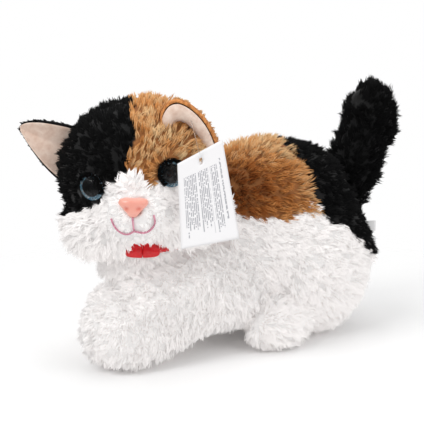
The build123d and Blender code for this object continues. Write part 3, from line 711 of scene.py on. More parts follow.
def haunch_patch(points):
    """White legs; the black of the rump comes a little way down over the haunch."""
    kinds = torso_patch(points)
    return np.where(kinds == ORANGE, WHITE, kinds)


def haunch_keep(places):
    outer = depth_below(places, TORSO_SHAPES) < 6
    low_inside = (np.abs(places[:, 0]) < 32) & (places[:, 2] < 40)
    return outer & ~low_inside & (places[:, 2] > 3)


def build_hind_legs():
    for side, name in ((1, "left"), (-1, "right")):
        filling = ((side * 36, 50, 80), (32, 60, 56))
        skin = skin_from(f"hind_leg_{name}_skin", f"hind_leg_{name}", voxel=3.0, rounds=5, fillings=[filling])
        beside_torso = depth_below(vertices_of(skin), TORSO_SHAPES) > -8
        pull_in(skin, np.where(beside_torso, -4.5, 1.5), seed=71 + side)
        paint(skin, BACKING[haunch_patch(vertices_of(skin))])
        finish_piece(skin, "torso", PILE, [f"hind_leg_{name}"])
        fur_in_patches(f"hind_leg_{name}", "torso", skin, haunch_keep, haunch_patch, body_lay, body_length,
                       body_tones, spacing=BODY_SPACING, seed=74 + side, **BODY_PILE)


# ---------------------------------------------------------------- forelegs
# Centre and radius of each front paw
PAWS = {"left": ((36, -154, 33), 33), "right": ((-52, -112, 26), 28)}
# Balls that carry each shoulder into the torso: centre, radii and lean in degrees
SHOULDER_FILLINGS = {
    "left": (
        ((41, -52, 58), (24, 54, 40), -6),
        ((40, -88, 58), (24, 40, 32), 10),
        ((34, -122, 56), (28, 32, 24)),
    ),
    "right": (((-41, -50, 58), (23, 50, 40), -6),),
}
CREASE_DEPTH, CREASE_WIDTH = 8.0, 2.8


def leg_lay(places):
    left = 0.3 * waves(places, 40, 83)
    back = -0.5 + 0.3 * waves(places, 40, 81)
    up = -0.6 + 0.3 * waves(places, 40, 82)
    return np.stack((left, back, up), axis=1)


def toe_creases(points, centre, radius):
    """Two shallow grooves over the front of a paw, between its three toes."""
    toward = points - np.array(centre)
    front = step_between(-toward[:, 1], 0, radius * 0.5)
    low = step_between(-toward[:, 2], -radius * 0.55, radius * 0.1)
    groove = np.zeros(len(points))
    for place in (-0.34, 0.34):
        groove = np.maximum(groove, np.exp(-((toward[:, 0] - place * radius) / CREASE_WIDTH) ** 2))
    return CREASE_DEPTH * groove * front * low


def foreleg_keep(places):
    inner = (np.abs(places[:, 0]) < 30) & (places[:, 1] > -100)
    buried = (depth_below(places, TORSO_SHAPES) > 2) | inner
    return ~buried & (places[:, 2] > 2.5)


def build_foreleg(name):
    centre, radius = PAWS[name]
    skin = skin_from(f"foreleg_{name}_skin", f"foreleg_plush_{name}", voxel=2.6, rounds=16,
                     fillings=SHOULDER_FILLINGS[name])
    pull_in(skin, 1.5, seed=85)
    points = vertices_of(skin)
    move_vertices(skin, points - normals_of(skin) * toe_creases(points, centre, radius)[:, None])
    paint(skin, np.tile(BACKING[WHITE], (len(points), 1)))
    dress(skin, PILE, [f"foreleg_plush_{name}"])

    def length(places, kind):
        paw = np.linalg.norm(places - np.array(centre), axis=1) < radius + 4
        base = np.where(paw, 5.5, 6.8) - 0.35 * toe_creases(places, centre, radius)
        return base * (1 + 0.1 * waves(places, 18, 86))

    furs = fur_in_patches(f"foreleg_{name}", None, skin, foreleg_keep, all_of(WHITE), leg_lay, length,
                          body_tones, spacing=BODY_SPACING, seed=87, **BODY_PILE)
    for piece in [skin, *furs]:
        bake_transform(piece)


# ---------------------------------------------------------------- tail
TAIL_ROOT_XY, TAIL_BARE_RADIUS = np.array((0, 131)), 6


def tail_keep(places):
    return np.linalg.norm(places[:, :2] - TAIL_ROOT_XY, axis=1) > TAIL_BARE_RADIUS


def tail_lay(places):
    left = 0.4 * waves(places, 30, 93)
    back = 0.35 + 0.4 * waves(places, 30, 92)
    return np.stack((left, back, np.ones(len(places))), axis=1)


def tail_length(places, kind):
    return 8.5 * (1 + 0.2 * waves(places, 16, 95))


def build_tail():
    root = ((0, 112, design(JOINTS["tail_wag"]["pos_m"])[2]), (18, 14, 18))
    skin = skin_from("tail_skin", "tail_plush", voxel=2.8, rounds=6, fillings=[root])
    heights = vertices_of(skin)[:, 2]
    pull_in(skin, 0.5 + 3.0 * step_between(heights, 165, 225), seed=91, wobble=1.8)
    paint(skin, np.tile(BACKING[BLACK], (len(heights), 1)))
    finish_piece(skin, "tail", PILE, ["tail_plush"])
    fur_in_patches("tail", "tail", skin, tail_keep, all_of(BLACK), tail_lay, tail_length, body_tones,
                   spacing=3.7, seed=94, per_tuft=9, spread=3.2, lift=0.55)


# ---------------------------------------------------------------- head
# In the head's own frame, for the left eye
EYE_AT = np.array((34.0, -50.5, -1.0))
EYE_RADIUS, EYE_TURN = 11.5, 24
NOSE_AT = np.array((0.0, -68.0, -20.0))
HEAD_HOLE_Y, HEAD_HOLE_RADIUS = 18.5, 20
HEAD_FILL = (54, 42, 48)  # radii of the head's inside, where no fur grows
MUZZLE_AT, MUZZLE_SHAPE = (0, -56, -32), (1, 1.1, 0.9)
FACE_MIDDLE = np.array((0.0, -62.0, -6.0))
STITCH_PARTING = 1.3


def from_eye(local):
    """Steps from the nearer eye's centre."""
    side = np.where(local[:, 0] < 0, -1.0, 1.0)
    level = np.ones(len(local))
    return local - EYE_AT * np.stack((side, level, level), axis=1)


def eye_distance(local):
    return np.linalg.norm(from_eye(local), axis=1)


def eye_axes(side):
    """Which way an eye looks, and the level direction across it."""
    turn = math.radians(side * EYE_TURN)
    outward = np.array((math.sin(turn), -math.cos(turn), 0.0))
    return outward, np.array((math.cos(turn), math.sin(turn), 0.0))


def head_shift(points):
    """The skin keeps its place at the eyes and the nose, and sits lower elsewhere."""
    local = to_head(points)
    near_eye = 1 - step_between(eye_distance(local), 13, 22)
    near_nose = 1 - step_between(np.linalg.norm(local - NOSE_AT, axis=1), 18, 32)
    return 3.0 * (1 - np.maximum(near_eye, near_nose))


# Left and up in the head's frame: the line under the nose and the two sides of the smile
MOUTH_LINES = [
    [(-2, -29.5), (-2.6, -35), (-3, -41)],
    [(-3, -41), (-9, -43.3), (-14.5, -41.5), (-18.8, -36), (-20.8, -28)],
    [(-3, -41), (4, -44.2), (10, -42.8), (14.8, -37.5), (15.4, -30.5)],
]


def smooth_path(points, count):
    """Evenly numbered places along a Catmull-Rom curve through the points."""
    points = np.array(points, float)
    padded = np.vstack((2 * points[0] - points[1], points, 2 * points[-1] - points[-2]))
    spans = len(points) - 1
    places = np.linspace(0, spans - 1e-6, count)
    index = places.astype(int)
    t = (places - index)[:, None]
    p0, p1, p2, p3 = (padded[index + i] for i in range(4))
    return 0.5 * (2 * p1 + (p2 - p0) * t + (2 * p0 - 5 * p1 + 4 * p2 - p3) * t ** 2
                  + (3 * p1 - p0 - 3 * p2 + p3) * t ** 3)


MOUTH_PATHS = [smooth_path(line, 22) for line in MOUTH_LINES]


def mouth_distance(local):
    """Distance from the mouth's stitched lines, seen from the front, in millimetres."""
    nearest = np.full(len(local), 1e3)
    for place in np.concatenate(MOUTH_PATHS):
        nearest = np.minimum(nearest, np.hypot(local[:, 0] - place[0], local[:, 2] - place[1]))
    return np.where(local[:, 1] < -45, nearest, 1e3)


def head_keep(places):
    local = to_head(places)
    x, y, z = local.T
    outside = np.linalg.norm(local / HEAD_FILL, axis=1) > 1
    eye = eye_distance(local) < EYE_RADIUS + 0.5
    nose_half_width = 11.5 - 0.45 * np.clip(-z - 15, 0, 14)
    nose = (np.abs(x) < nose_half_width) & (z < -13) & (z > -29) & (y < -50)
    neck_hole = (np.hypot(x, y - HEAD_HOLE_Y) < HEAD_HOLE_RADIUS) & (z < -30)
    return outside & ~eye & ~nose & ~neck_hole & (mouth_distance(local) > STITCH_PARTING)


def head_lay(places):
    """Pile runs out from the nose over the face and back over the crown."""
    local = to_head(places)
    flow = local - FACE_MIDDLE
    flow[:, 1] += 25
    flow[:, 2] -= 14 * (local[:, 2] < -10)
    flow = unit(flow)
    flow[:, 0] += 0.3 * waves(places, 30, 101)
    flow[:, 2] += 0.3 * waves(places, 30, 102)
    near_eye = 1 - step_between(eye_distance(local), EYE_RADIUS, EYE_RADIUS + 8)[:, None]
    flow = flow * (1 - near_eye) + unit(from_eye(local)) * near_eye
    return flow @ HEAD_AXES.T


def head_length(places, kind):
    """Long on the cheeks; short on the muzzle, round the eyes and beside the stitching."""
    local = to_head(places)
    _, y, z = local.T
    from_muzzle = np.linalg.norm((local - MUZZLE_AT) / MUZZLE_SHAPE, axis=1)
    muzzle = 1 - step_between(from_muzzle, 20, 36)
    cheek = step_between(-z, 22, 50) * step_between(y, -60, -30)
    near_eye = 1 - step_between(eye_distance(local), EYE_RADIUS, EYE_RADIUS + 9)
    stitched = 1 - step_between(mouth_distance(local), 2, 7)
    shorter = (1 - 0.62 * muzzle) * (1 - 0.35 * near_eye) * (1 - 0.35 * stitched)
    return (8.0, 9.0, 7.0)[kind] * (1 + 0.35 * cheek) * shorter * (1 + 0.12 * waves(places, 16, 103))


def head_tones(places, kind):
    if kind == ORANGE:
        return np.clip(orange_tone(places, 104) + 0.2, 0.05, 0.98)
    return body_tones(places, kind)


def patch_on_head(places):
    return head_patch(to_head(places))


def build_head():
    skin = skin_from("head_skin", "head_plush", voxel=2.1, rounds=5)
    pull_in(skin, head_shift(vertices_of(skin)), seed=105, wobble=0.5)
    paint(skin, BACKING[patch_on_head(vertices_of(skin))])
    finish_piece(skin, "head", PILE, ["head_plush"])
    fur_in_patches("head", "head", skin, head_keep, patch_on_head, head_lay, head_length, head_tones,
                   spacing=3.6, seed=106, width=0.95, lift=0.42)
    return skin


# Side, first and last angle of each fringe on an eye's edge: 0 is the kitten's left and 90 is up
EYE_FRINGES = ((-1, -30, 150), (1, 15, 225))
FRINGE_STEP, FRINGE_LENGTH = 2.5, 5.6


def build_eye_fringes():
    """Black pile that leans over the upper and inner edges of the eyes."""
    for number, (side, first, last) in enumerate(EYE_FRINGES):
        angle = np.radians(np.arange(first, last, FRINGE_STEP))[:, None]
        outward, level = eye_axes(side)
        around = level * np.cos(angle) + UP * np.sin(angle)
        places = from_head(EYE_AT * (side, 1, 1) + around * (EYE_RADIUS + 0.6) + outward * 3.0)
        normals = np.tile(HEAD_AXES @ outward, (len(places), 1))
        tone = np.clip(0.45 + 0.2 * waves(places, 6, 131), 0, 1)
        grow(f"eye_fringe_{number}", "head", "black_plush", "black", places, normals,
             -around @ HEAD_AXES.T, np.full(len(places), FRINGE_LENGTH), tone, seed=132 + number,
             per_tuft=5, width=0.6, spread=1.3, pull=0.4, lift=0.45, loose=0.3)


# ---------------------------------------------------------------- ears
# In the head's own frame: the right ear's upper and lower edges, from root to tip
RIGHT_EAR_TOP = [(-44, -4, 47), (-56, -9, 53), (-74, -11, 59), (-88, -10, 60), (-95, -8, 56)]
RIGHT_EAR_BOTTOM = [(-58, -6, -8), (-66, -10, 0), (-78, -12, 17), (-88, -11, 37), (-95, -8, 56)]
EAR_ROWS, EAR_COLUMNS = 15, 13
FOLD_AT, FOLD_WIDTH, FOLD_DEPTH = 0.42, 0.07, 2.2
EAR_PILE = 3.2


def right_ear_sheet(inset, forward):
    """The cupped ear as rows from root to tip, each running from its top edge to the bottom one."""
    top, bottom = smooth_path(RIGHT_EAR_TOP, EAR_ROWS), smooth_path(RIGHT_EAR_BOTTOM, EAR_ROWS)
    share = np.linspace(inset, 1 - inset, EAR_COLUMNS)
    across = share[None, :, None]
    sheet = top[:, None] * (1 - across) + bottom[:, None] * across
    width = np.linalg.norm(top - bottom, axis=1)[:, None]
    cup = 4 * share * (1 - share)
    fold = FOLD_DEPTH * np.exp(-((share - FOLD_AT) / FOLD_WIDTH) ** 2)
    sheet[:, :, 1] += cup * width * 0.24 + fold * (width / 40) - forward
    if inset:
        sheet[-1] = sheet[-1] * 0.5 + sheet[-2] * 0.5
    return sheet.reshape(-1, 3)


def ear_part(name, local_points, rows, material, node, thickness):
    columns = len(local_points) // rows
    obj = mesh_object(name, from_head(local_points), quad_faces(rows, columns))
    thicken(obj, thickness)
    finish_piece(obj, "head", material, [node])
    return obj


def build_right_ear():
    shell = ear_part("ear_right_shell", right_ear_sheet(0, 0), EAR_ROWS, FUR_CLOTH["black"],
                     "ear_right", 2.4)
    ear_part("ear_right_velour", right_ear_sheet(0.05, 2.2), EAR_ROWS, VELOUR,
             "ear_right_lining", 1.0)
    places, normals = scatter(shell, spacing=2.6, seed=111)
    facing = normals @ HEAD_AXES
    rear = (facing[:, 1] > 0.15) | (facing[:, 2] > 0.75)
    places, normals = places[rear], normals[rear]
    lay = np.tile(HEAD_AXES @ (-1.0, 0.2, 0.3), (len(places), 1))
    tone = np.clip(0.4 + 0.2 * waves(places, 14, 112), 0, 1)
    grow("ear_right_fur", "head", "black_plush", "black", places, normals, lay,
         np.full(len(places), EAR_PILE), tone, seed=113, per_tuft=5, width=0.8, spread=1.6, lift=0.3)


# The left ear's folded rim, from its front root over the top to its rear one
LEFT_EAR_RIM = [(31, -33, 39), (34, -36, 47), (41, -36, 54), (50, -35, 54), (60, -31, 45),
                (68, -28, 31), (72, -24, 14), (71, -20, -4)]
LEFT_EAR_CENTRE = np.array((44.0, 0.0, 22.0))
LEFT_EAR_COLUMNS = 26
# Across the ear from its outer back, over the rim and down inside: share towards the centre, back
LEFT_EAR_SHELL = [(0.16, 26), (0.0, 15), (-0.09, 6), (-0.07, 1.0), (0.0, -0.6)]
LEFT_EAR_LINING = [(0.02, -1.2), (0.13, -2.2), (0.26, -1.8), (0.38, 0.6), (0.47, 6.0), (0.50, 15)]


def left_ear_sheet(profile):
    rim = smooth_path(LEFT_EAR_RIM, LEFT_EAR_COLUMNS)
    centre = np.where((False, True, False), rim, LEFT_EAR_CENTRE)
    rows = [rim + (centre - rim) * share + (0, back, 0) for share, back in profile]
    return np.concatenate(rows)


def build_left_ear():
    shell = ear_part("ear_left_shell", left_ear_sheet(LEFT_EAR_SHELL), len(LEFT_EAR_SHELL),
                     FUR_CLOTH["orange"], "ear_left", 1.6)
    ear_part("ear_left_velour", left_ear_sheet(LEFT_EAR_LINING), len(LEFT_EAR_LINING),
             VELOUR, "ear_left_lining", 1.2)
    places, normals = scatter(shell, spacing=2.8, seed=121)
    rear = (normals @ HEAD_AXES)[:, 1] > 0.1
    places, normals = places[rear], normals[rear]
    lay = np.tile(HEAD_AXES @ (0.5, 0.9, 0.2), (len(places), 1))
    grow("ear_left_fur", "head", "black_plush", "orange", places, normals, lay,
         np.full(len(places), EAR_PILE), orange_tone(places, 122) + 0.1, seed=123,
         per_tuft=6, width=0.7, spread=1.8)


# ---------------------------------------------------------------- nose and mouth
NOSE_CENTRE, NOSE_ROLL, NOSE_SCALE = np.array((0.0, -19.8)), -11, 0.92
NOSTRILS = np.array(((-5.6, -22.2), (5.6, -22.2)))
# Share of the outline and how far behind the nose's plane, from the back edge to the front
NOSE_RINGS = ((1.0, 5.0), (1.04, 1.5), (1.0, -1.8), (0.9, -3.2), (0.8, -4.0), (0.7, -4.6), (0.6, -5.0),
              (0.5, -5.2), (0.35, -5.35), (0.2, -5.4))
NOSE_OUTLINE = [(-12, -14.6), (-6, -13.2), (0, -13.6), (6, -13.2), (12, -14.6), (13, -18.5), (8, -24),
                (3.4, -29.5), (0, -30.6), (-3.4, -29.5), (-8, -24), (-13, -18.5)]
NOSE_Y = -66.5
# The third value is painted shade: how far red, green and blue are darkened at the middle of each nostril.
NOSTRIL_RADIUS, NOSTRIL_DEPTH, NOSTRIL_PAINTED_SHADE = 1.9, 2.2, (0.12, 0.5, 0.55)
THREAD_RADIUS, THREAD_PROUD = 0.75, 1.6
THREAD_COLOURS = ((0.50, 0.16, 0.24), (0.80, 0.36, 0.46))


def nose_material():
    made = Nodes("nose_gloss")
    colours = made.ramp(made.noise(90), [(0.3, (0.90, 0.36, 0.28)), (0.7, (0.95, 0.45, 0.36))])
    # The colour is multiplied by painted shade read from the mesh, darker in the nostril hollows.
    nostril_shade = made.add("ShaderNodeAttribute", attribute_name="patch")
    made.colour(made.mix("MULTIPLY", 1, colours, nostril_shade.outputs["Color"]))
    made.settings(Roughness=0.28, Coat_Weight=0.4, Coat_Roughness=0.12)
    made.bump(made.noise(700), 0.08, 0.0003)
    return made.material


def build_nose():
    outline = smooth_path([*NOSE_OUTLINE, NOSE_OUTLINE[0]], 49)[:-1]
    turn = math.radians(NOSE_ROLL)
    roll = NOSE_SCALE * np.array(((math.cos(turn), -math.sin(turn)), (math.sin(turn), math.cos(turn))))
    points, nostril_shade = [], []
    for share, behind in NOSE_RINGS:
        for place in outline:
            flat = NOSE_CENTRE + (place - NOSE_CENTRE) * share
            nearest = np.linalg.norm(NOSTRILS - flat, axis=1).min()
            hollow = math.exp(-(nearest / NOSTRIL_RADIUS) ** 2)
            x, z = NOSE_CENTRE + roll @ (flat - NOSE_CENTRE)
            points.append((x, NOSE_Y + behind + NOSTRIL_DEPTH * hollow, z))
            nostril_shade.append(hollow)
    obj = mesh_object("nose_moulding", from_head(points), capped_tube(len(NOSE_RINGS), len(outline)))
    # Painted shade: the nose's colour is darkened in the nostril hollows.
    paint(obj, 1 - np.outer(nostril_shade, NOSTRIL_PAINTED_SHADE))
    rounding = obj.modifiers.new("rounding", "SUBSURF")
    rounding.levels = rounding.render_levels = 2
    finish_piece(obj, "head", nose_material(), ["nose"])


def cord(path, radius, sides=8):
    """Points and faces of a round cord along a path, closed at both ends."""
    path = np.array(path, float)
    first, second = tangents(unit(np.gradient(path, axis=0)))
    around = [math.cos(turn) * first + math.sin(turn) * second for turn in turns(sides)]
    points = path[:, None] + radius * np.stack(around, axis=1)
    return points.reshape(-1, 3), capped_tube(len(path), sides)


def build_mouth(skin):
    """Stitches laid on the muzzle: each point is found by looking at the skin from the front."""
    skin_faces = [tuple(polygon.vertices) for polygon in skin.data.polygons]
    tree = BVHTree.FromPolygons(vertices_of(skin).tolist(), skin_faces)
    backward = HEAD_AXES[:, 1]
    points, faces = [], []
    for path in MOUTH_PATHS:
        laid = []
        for x, z in path:
            hit = tree.ray_cast(Vector(from_head((x, -100.0, z))), Vector(backward))[0]
            laid.append(np.array(hit) - backward * THREAD_PROUD)
        stitch, sides = cord(laid, THREAD_RADIUS)
        faces += [tuple(index + len(points) for index in face) for face in sides]
        points += list(stitch)
    thread = woven_material("mouth_thread", 420.0, 1.5, THREAD_COLOURS, (0.5, 0.0003), Roughness=0.6)
    stitching = mesh_object("mouth_stitching", points, faces)
    finish_piece(stitching, "head", thread, ["mouth_thread"])


# ---------------------------------------------------------------- ribbon, card and label
RIBBON_RADIUS, RIBBON_HEIGHT, RIBBON_WIDTH = 38, 101, 10
RIBBON_STEPS, RIBBON_LEVELS = 96, (-0.5, -0.17, 0.17, 0.5)
KNOT_AT, KNOT_FACING = np.array((37.0, -128.5, 102.0)), unit(np.array((0.90, -0.43, 0.0)))
LOOP_ROWS, LOOP_COLUMNS, LOOP_REACH = 9, 7, 15
SATIN_COLOURS = ((0.56, 0.0, 0.004), (0.78, 0.0, 0.008))


def ribbon_point(level, turn):
    """A place on the band: level runs over its width and turn round the neck, with soft waves."""
    radius = RIBBON_RADIUS + 1.2 * math.sin(9 * turn) * abs(level) + 0.8 * (1 - 4 * level * level)
    x, y = HEAD_TURN_AT[:2] + radius * np.array((math.cos(turn), math.sin(turn)))
    return x, y, RIBBON_HEIGHT + level * RIBBON_WIDTH + 1.5 * math.sin(3 * turn + 1)


def loop_point(side, row, column):
    """A place on one half of the bow: it is widest at the knot and narrows outwards."""
    out, across = row / (LOOP_ROWS - 1), column / (LOOP_COLUMNS - 1) - 0.5
    width = 2 + 13 * math.sqrt(max(0.0, math.cos(math.pi / 2 * out)))
    puff = 3.6 * math.sin(math.pi * out) * math.cos(math.pi * across)
    level = np.array((-KNOT_FACING[1], KNOT_FACING[0], 0.0))
    place = KNOT_AT + level * side * LOOP_REACH * out + KNOT_FACING * (1 + puff)
    return place + UP * (across * width - 3.0 * out * out)


def build_ribbon():
    """A flat satin band round the neck, with a small folded bow under the chin."""
    satin = woven_material("satin_ribbon", 900.0, 0.4, SATIN_COLOURS, (0.12, 0.0002),
                           Roughness=0.32, Anisotropic=0.5, Sheen_Weight=0.05)
    points = [ribbon_point(level, turn) for level in RIBBON_LEVELS for turn in turns(RIBBON_STEPS)]
    band = mesh_object("neck_ribbon", points, quad_faces(len(RIBBON_LEVELS), RIBBON_STEPS, closed=True))
    thicken(band, 0.7)
    finish_piece(band, "torso", satin, ["collar_ribbon"])

    points, faces = [], []
    for side in (-1, 1):
        faces += quad_faces(LOOP_ROWS, LOOP_COLUMNS, start=len(points))
        for row in range(LOOP_ROWS):
            points += [loop_point(side, row, column) for column in range(LOOP_COLUMNS)]
    bow = mesh_object("ribbon_bow", points, faces)
    thicken(bow, 0.6)
    finish_piece(bow, "torso", satin)


PAPER, PRINT = (0.90, 0.89, 0.90, 1), (0.42, 0.42, 0.45, 1)
PRINT_LINES, GAP_SHARE = 30, 0.42
PRINT_COLUMNS = ((0.12, 0.37), (0.41, 0.62), (0.66, 0.80))
EDGE_LINE = (0.855, 0.885)


def window(made, source, low, high):
    """1 between two values, 0 outside them."""
    above = made.calculate("GREATER_THAN", source, low)
    return made.calculate("MULTIPLY", above, made.calculate("LESS_THAN", source, high))


def card_material():
    """White card with thin broken grey lines in place of words, running along its long edge."""
    made = Nodes("card_print")
    u, v = made.uv("card")
    line = made.calculate("MULTIPLY", u, PRINT_LINES)
    number = made.calculate("FLOOR", line)
    inked = made.calculate("GREATER_THAN", made.calculate("FRACT", line), GAP_SHARE)

    words = made.add("ShaderNodeTexNoise", Scale=1.0, Detail=0.0)
    spot = made.add("ShaderNodeCombineXYZ")
    made.link(made.calculate("MULTIPLY", number, 7.3), spot.inputs["X"])
    made.link(made.calculate("MULTIPLY", v, 44), spot.inputs["Y"])
    made.link(spot.outputs["Vector"], words.inputs["Vector"])
    written = made.calculate("GREATER_THAN", words.outputs["Fac"], 0.40)

    columns = window(made, u, *PRINT_COLUMNS[0])
    for column in PRINT_COLUMNS[1:]:
        columns = made.calculate("ADD", columns, window(made, u, *column))
    ends = made.add("ShaderNodeTexWhiteNoise", noise_dimensions="1D")
    made.link(number, ends.inputs["W"])
    low_end = made.calculate("MULTIPLY_ADD", ends.outputs["Value"], 0.16, 0.10)
    rows = made.calculate("MULTIPLY", inked, window(made, v, low_end, 0.80))
    body = made.calculate("MULTIPLY", rows, columns)
    edge = made.calculate("MULTIPLY", window(made, u, *EDGE_LINE), window(made, v, 0.22, 0.84))
    print_share = made.calculate("MULTIPLY", made.calculate("MAXIMUM", body, edge), written)

    made.colour(made.mix("MIX", print_share, PAPER, PRINT))
    made.settings(Roughness=0.45)
    made.bump(made.noise(1200), 0.05, 0.0002)
    return made.material


# Across and up from the hole: the lower corners, then the upper ones
CARD_CORNERS = np.array(((-17, -72), (31, -63), (17, 18), (-20, -2)), float)
CARD_ROWS, CARD_COLUMNS = 30, 18
CARD_HOLE_RADIUS, CARD_CURL = 1.7, 1.6


def card_place(u, v):
    """Across, up and forward from the card's hole: between its corners, and curled at the lower end."""
    low = CARD_CORNERS[0] * (1 - u) + CARD_CORNERS[1] * u
    high = CARD_CORNERS[3] * (1 - u) + CARD_CORNERS[2] * u
    across, up = low * (1 - v) + high * v
    return across, up, CARD_CURL * (1 - 4 * (u - 0.5) ** 2) * (1 - v)


def build_card():
    normal = np.array(JOINTS["tag_swing"]["axis"])
    hole = design(JOINTS["tag_swing"]["pos_m"])
    across = unit(np.cross(UP, normal))
    axes = np.stack((across, np.cross(normal, across), normal))
    shares = [(column / (CARD_COLUMNS - 1), row / (CARD_ROWS - 1))
              for row in range(CARD_ROWS) for column in range(CARD_COLUMNS)]
    places = np.array([card_place(u, v) for u, v in shares])
    faces = [face for face in quad_faces(CARD_ROWS, CARD_COLUMNS)
             if np.linalg.norm(places[list(face), :2].mean(0)) > CARD_HOLE_RADIUS]
    card = mesh_object("swing_card", hole + places @ axes, faces)
    layer = card.data.uv_layers.new(name="card")
    for loop in card.data.loops:
        layer.data[loop.index].uv = shares[loop.vertex_index]
    thicken(card, 0.6, 0)
    finish_piece(card, "tag", card_material(), ["hang_tag"])


# Reach and gap of a loop of tape, seen from above, and its levels
LABEL_PROFILE = ((-4, -1.0), (0, -1.3), (4, -1.2), (6.5, -0.6), (7, 0),
                 (6.5, 0.6), (4, 1.2), (0, 1.3), (-4, 1.0))
LABEL_LEVELS = (-5, -2.5, 0, 2.5, 5)
TAPE_COLOURS = ((0.70,) * 3, (0.88,) * 3)


def build_label():
    """A small folded loop of woven tape at the rump seam."""
    middle = design(np.mean(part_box("side_label"), axis=0))
    out = unit(np.array((0.35, 0.94, 0.0)))
    side = np.array((-out[1], out[0], 0.0))
    points = [middle + out * reach + side * gap + UP * level
              for level in LABEL_LEVELS for reach, gap in LABEL_PROFILE]
    label = mesh_object("loop_label", points, quad_faces(len(LABEL_LEVELS), len(LABEL_PROFILE)))
    thicken(label, 0.35)
    tape = woven_material("label_tape", 1400.0, 0.2, TAPE_COLOURS, (0.3, 0.0002), Roughness=0.7)
    finish_piece(label, "torso", tape, ["side_label"])


# ---------------------------------------------------------------- neck sleeve
SLEEVE_LOW, SLEEVE_TALL, SLEEVE_RADIUS = 74, 52, 35
SLEEVE_STEPS, SLEEVE_ROWS = 40, 18
SLEEVE_PILE = 8.0


def sleeve_point(up, turn):
    """A place on the sleeve: it is drawn in at the middle of its height and gently fluted."""
    radius = SLEEVE_RADIUS - 3.0 * math.sin(math.pi * up) + 0.8 * math.sin(5 * turn)
    x, y = HEAD_TURN_AT[:2] + radius * np.array((math.cos(turn), math.sin(turn)))
    return x, y, SLEEVE_LOW + SLEEVE_TALL * up


def build_neck_sleeve():
    """Soft sleeve between the chest and the head."""
    levels = [row / (SLEEVE_ROWS - 1) for row in range(SLEEVE_ROWS)]
    points = [sleeve_point(up, turn) for up in levels for turn in turns(SLEEVE_STEPS)]
    sleeve = mesh_object("neck_sleeve", points, quad_faces(SLEEVE_ROWS, SLEEVE_STEPS, closed=True))
    thicken(sleeve, 2.0, 0)
    dress(sleeve, FUR_CLOTH["white"])

    places, normals = scatter(sleeve, spacing=3.2, seed=141)
    outer = (normals * (places - HEAD_TURN_AT))[:, :2].sum(1) > 0
    from_ribbon = places[:, 2] - RIBBON_HEIGHT
    kept = outer & ~((from_ribbon > 1) & (from_ribbon < 6))
    places, normals = places[kept], normals[kept]
    lay = np.where(places[:, 2:] > RIBBON_HEIGHT, UP, -0.3 * UP)
    fur = grow("neck_sleeve_fur", None, "white_plush", "white", places, normals, lay,
               np.full(len(places), SLEEVE_PILE), white_tone(places), seed=142, **BODY_PILE)
    for piece in (sleeve, fur):
        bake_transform(piece)


# ---------------------------------------------------------------- eyes and carried-over CAD nodes
# Radius and height over the eye's plane, round the ring's section
GLITTER_PROFILE = ((7.7, 0.05), (7.7, 0.34), (11.3, 0.34), (11.3, 0.05))
GLITTER_STEPS = 64
# Flake colours from dark to pale blue are the glitter's own colour; the white top stop is painted glints on
# the brightest flakes.
GLITTER_AND_GLINT_STOPS = (
    (0.0, (0.02, 0.10, 0.18)),
    (0.4, (0.08, 0.36, 0.56)),
    (0.7, (0.42, 0.74, 0.90)),
    (0.9, (1.0, 1.0, 1.0)),
)


def glitter_material():
    made = Nodes("eye_glitter")
    flakes = made.texture("ShaderNodeTexVoronoi", Scale=1500.0)
    split = made.add("ShaderNodeSeparateColor")
    made.link(flakes.outputs["Color"], split.inputs["Color"])
    made.colour(made.ramp(split.outputs["Red"], GLITTER_AND_GLINT_STOPS))
    made.settings(Metallic=0.1, Roughness=0.3)
    made.bump(split.outputs["Green"], 0.6, 0.0004)
    return made.material


def clear_material(name, roughness):
    made = Nodes(name)
    made.settings(Base_Color=(0.97, 0.99, 1.0, 1), Roughness=roughness, Transmission_Weight=1.0, IOR=1.3)
    made.bump(made.noise(260), 0.01, 0.0001)
    return made.material


def build_glitter_rings():
    """A narrow glitter ring under each dome, round a wide black pupil."""
    rows = len(GLITTER_PROFILE)
    count = rows * GLITTER_STEPS
    points, faces = [], []
    for side in (-1, 1):
        outward, level = eye_axes(side)
        for face in quad_faces(rows + 1, GLITTER_STEPS, closed=True):
            faces.append(tuple(len(points) + index % count for index in face))
        for radius, height in GLITTER_PROFILE:
            for turn in turns(GLITTER_STEPS):
                around = level * math.cos(turn) + UP * math.sin(turn)
                points.append(EYE_AT * (side, 1, 1) + around * radius + outward * height)
    rings = mesh_object("glitter_rings", from_head(points), faces)
    finish_piece(rings, "head", glitter_material(), ["eye_glitter"])


# Colour, roughness and what else differs from the usual finish, for each material slot of the record
FINISHES = {
    "eye_black": ((0.004, 0.004, 0.005), 0.12, {"grain": 500, "bump": 0.02}),
    "washer_plastic": ((0.78, 0.78, 0.74), 0.5, {}),
    "case_plastic": ((0.82, 0.81, 0.78), 0.5, {"bump": 0.3}),
    "frame_plastic": ((0.70, 0.72, 0.74), 0.5, {"bump": 0.25}),
    "gear_plastic": ((0.80, 0.79, 0.74), 0.4, {"bump": 0.1}),
    "bush_brass": ((0.62, 0.44, 0.17), 0.3, {"metal": 1.0, "bump": 0.1}),
    "shaft_steel": ((0.56, 0.56, 0.57), 0.22, {"metal": 1.0, "bump": 0.1}),
    "motor_steel": ((0.46, 0.46, 0.47), 0.35, {"metal": 1.0}),
    "screw_steel": ((0.40, 0.40, 0.41), 0.3, {"metal": 1.0, "bump": 0.2}),
    "cell_jacket": ((0.09, 0.10, 0.12), 0.35, {"bump": 0.05, "coat": 0.3}),
    "contact_metal": ((0.66, 0.65, 0.62), 0.25, {"metal": 1.0, "bump": 0.1}),
    "board_green": ((0.03, 0.20, 0.07), 0.4, {"grain": 1600, "bump": 0.2}),
    "speaker_black": ((0.03, 0.03, 0.03), 0.7, {"grain": 1200, "bump": 0.4}),
    "switch_black": ((0.03, 0.03, 0.03), 0.5, {"bump": 0.3}),
    "wire_red": ((0.50, 0.02, 0.02), 0.45, {"bump": 0.05}),
}


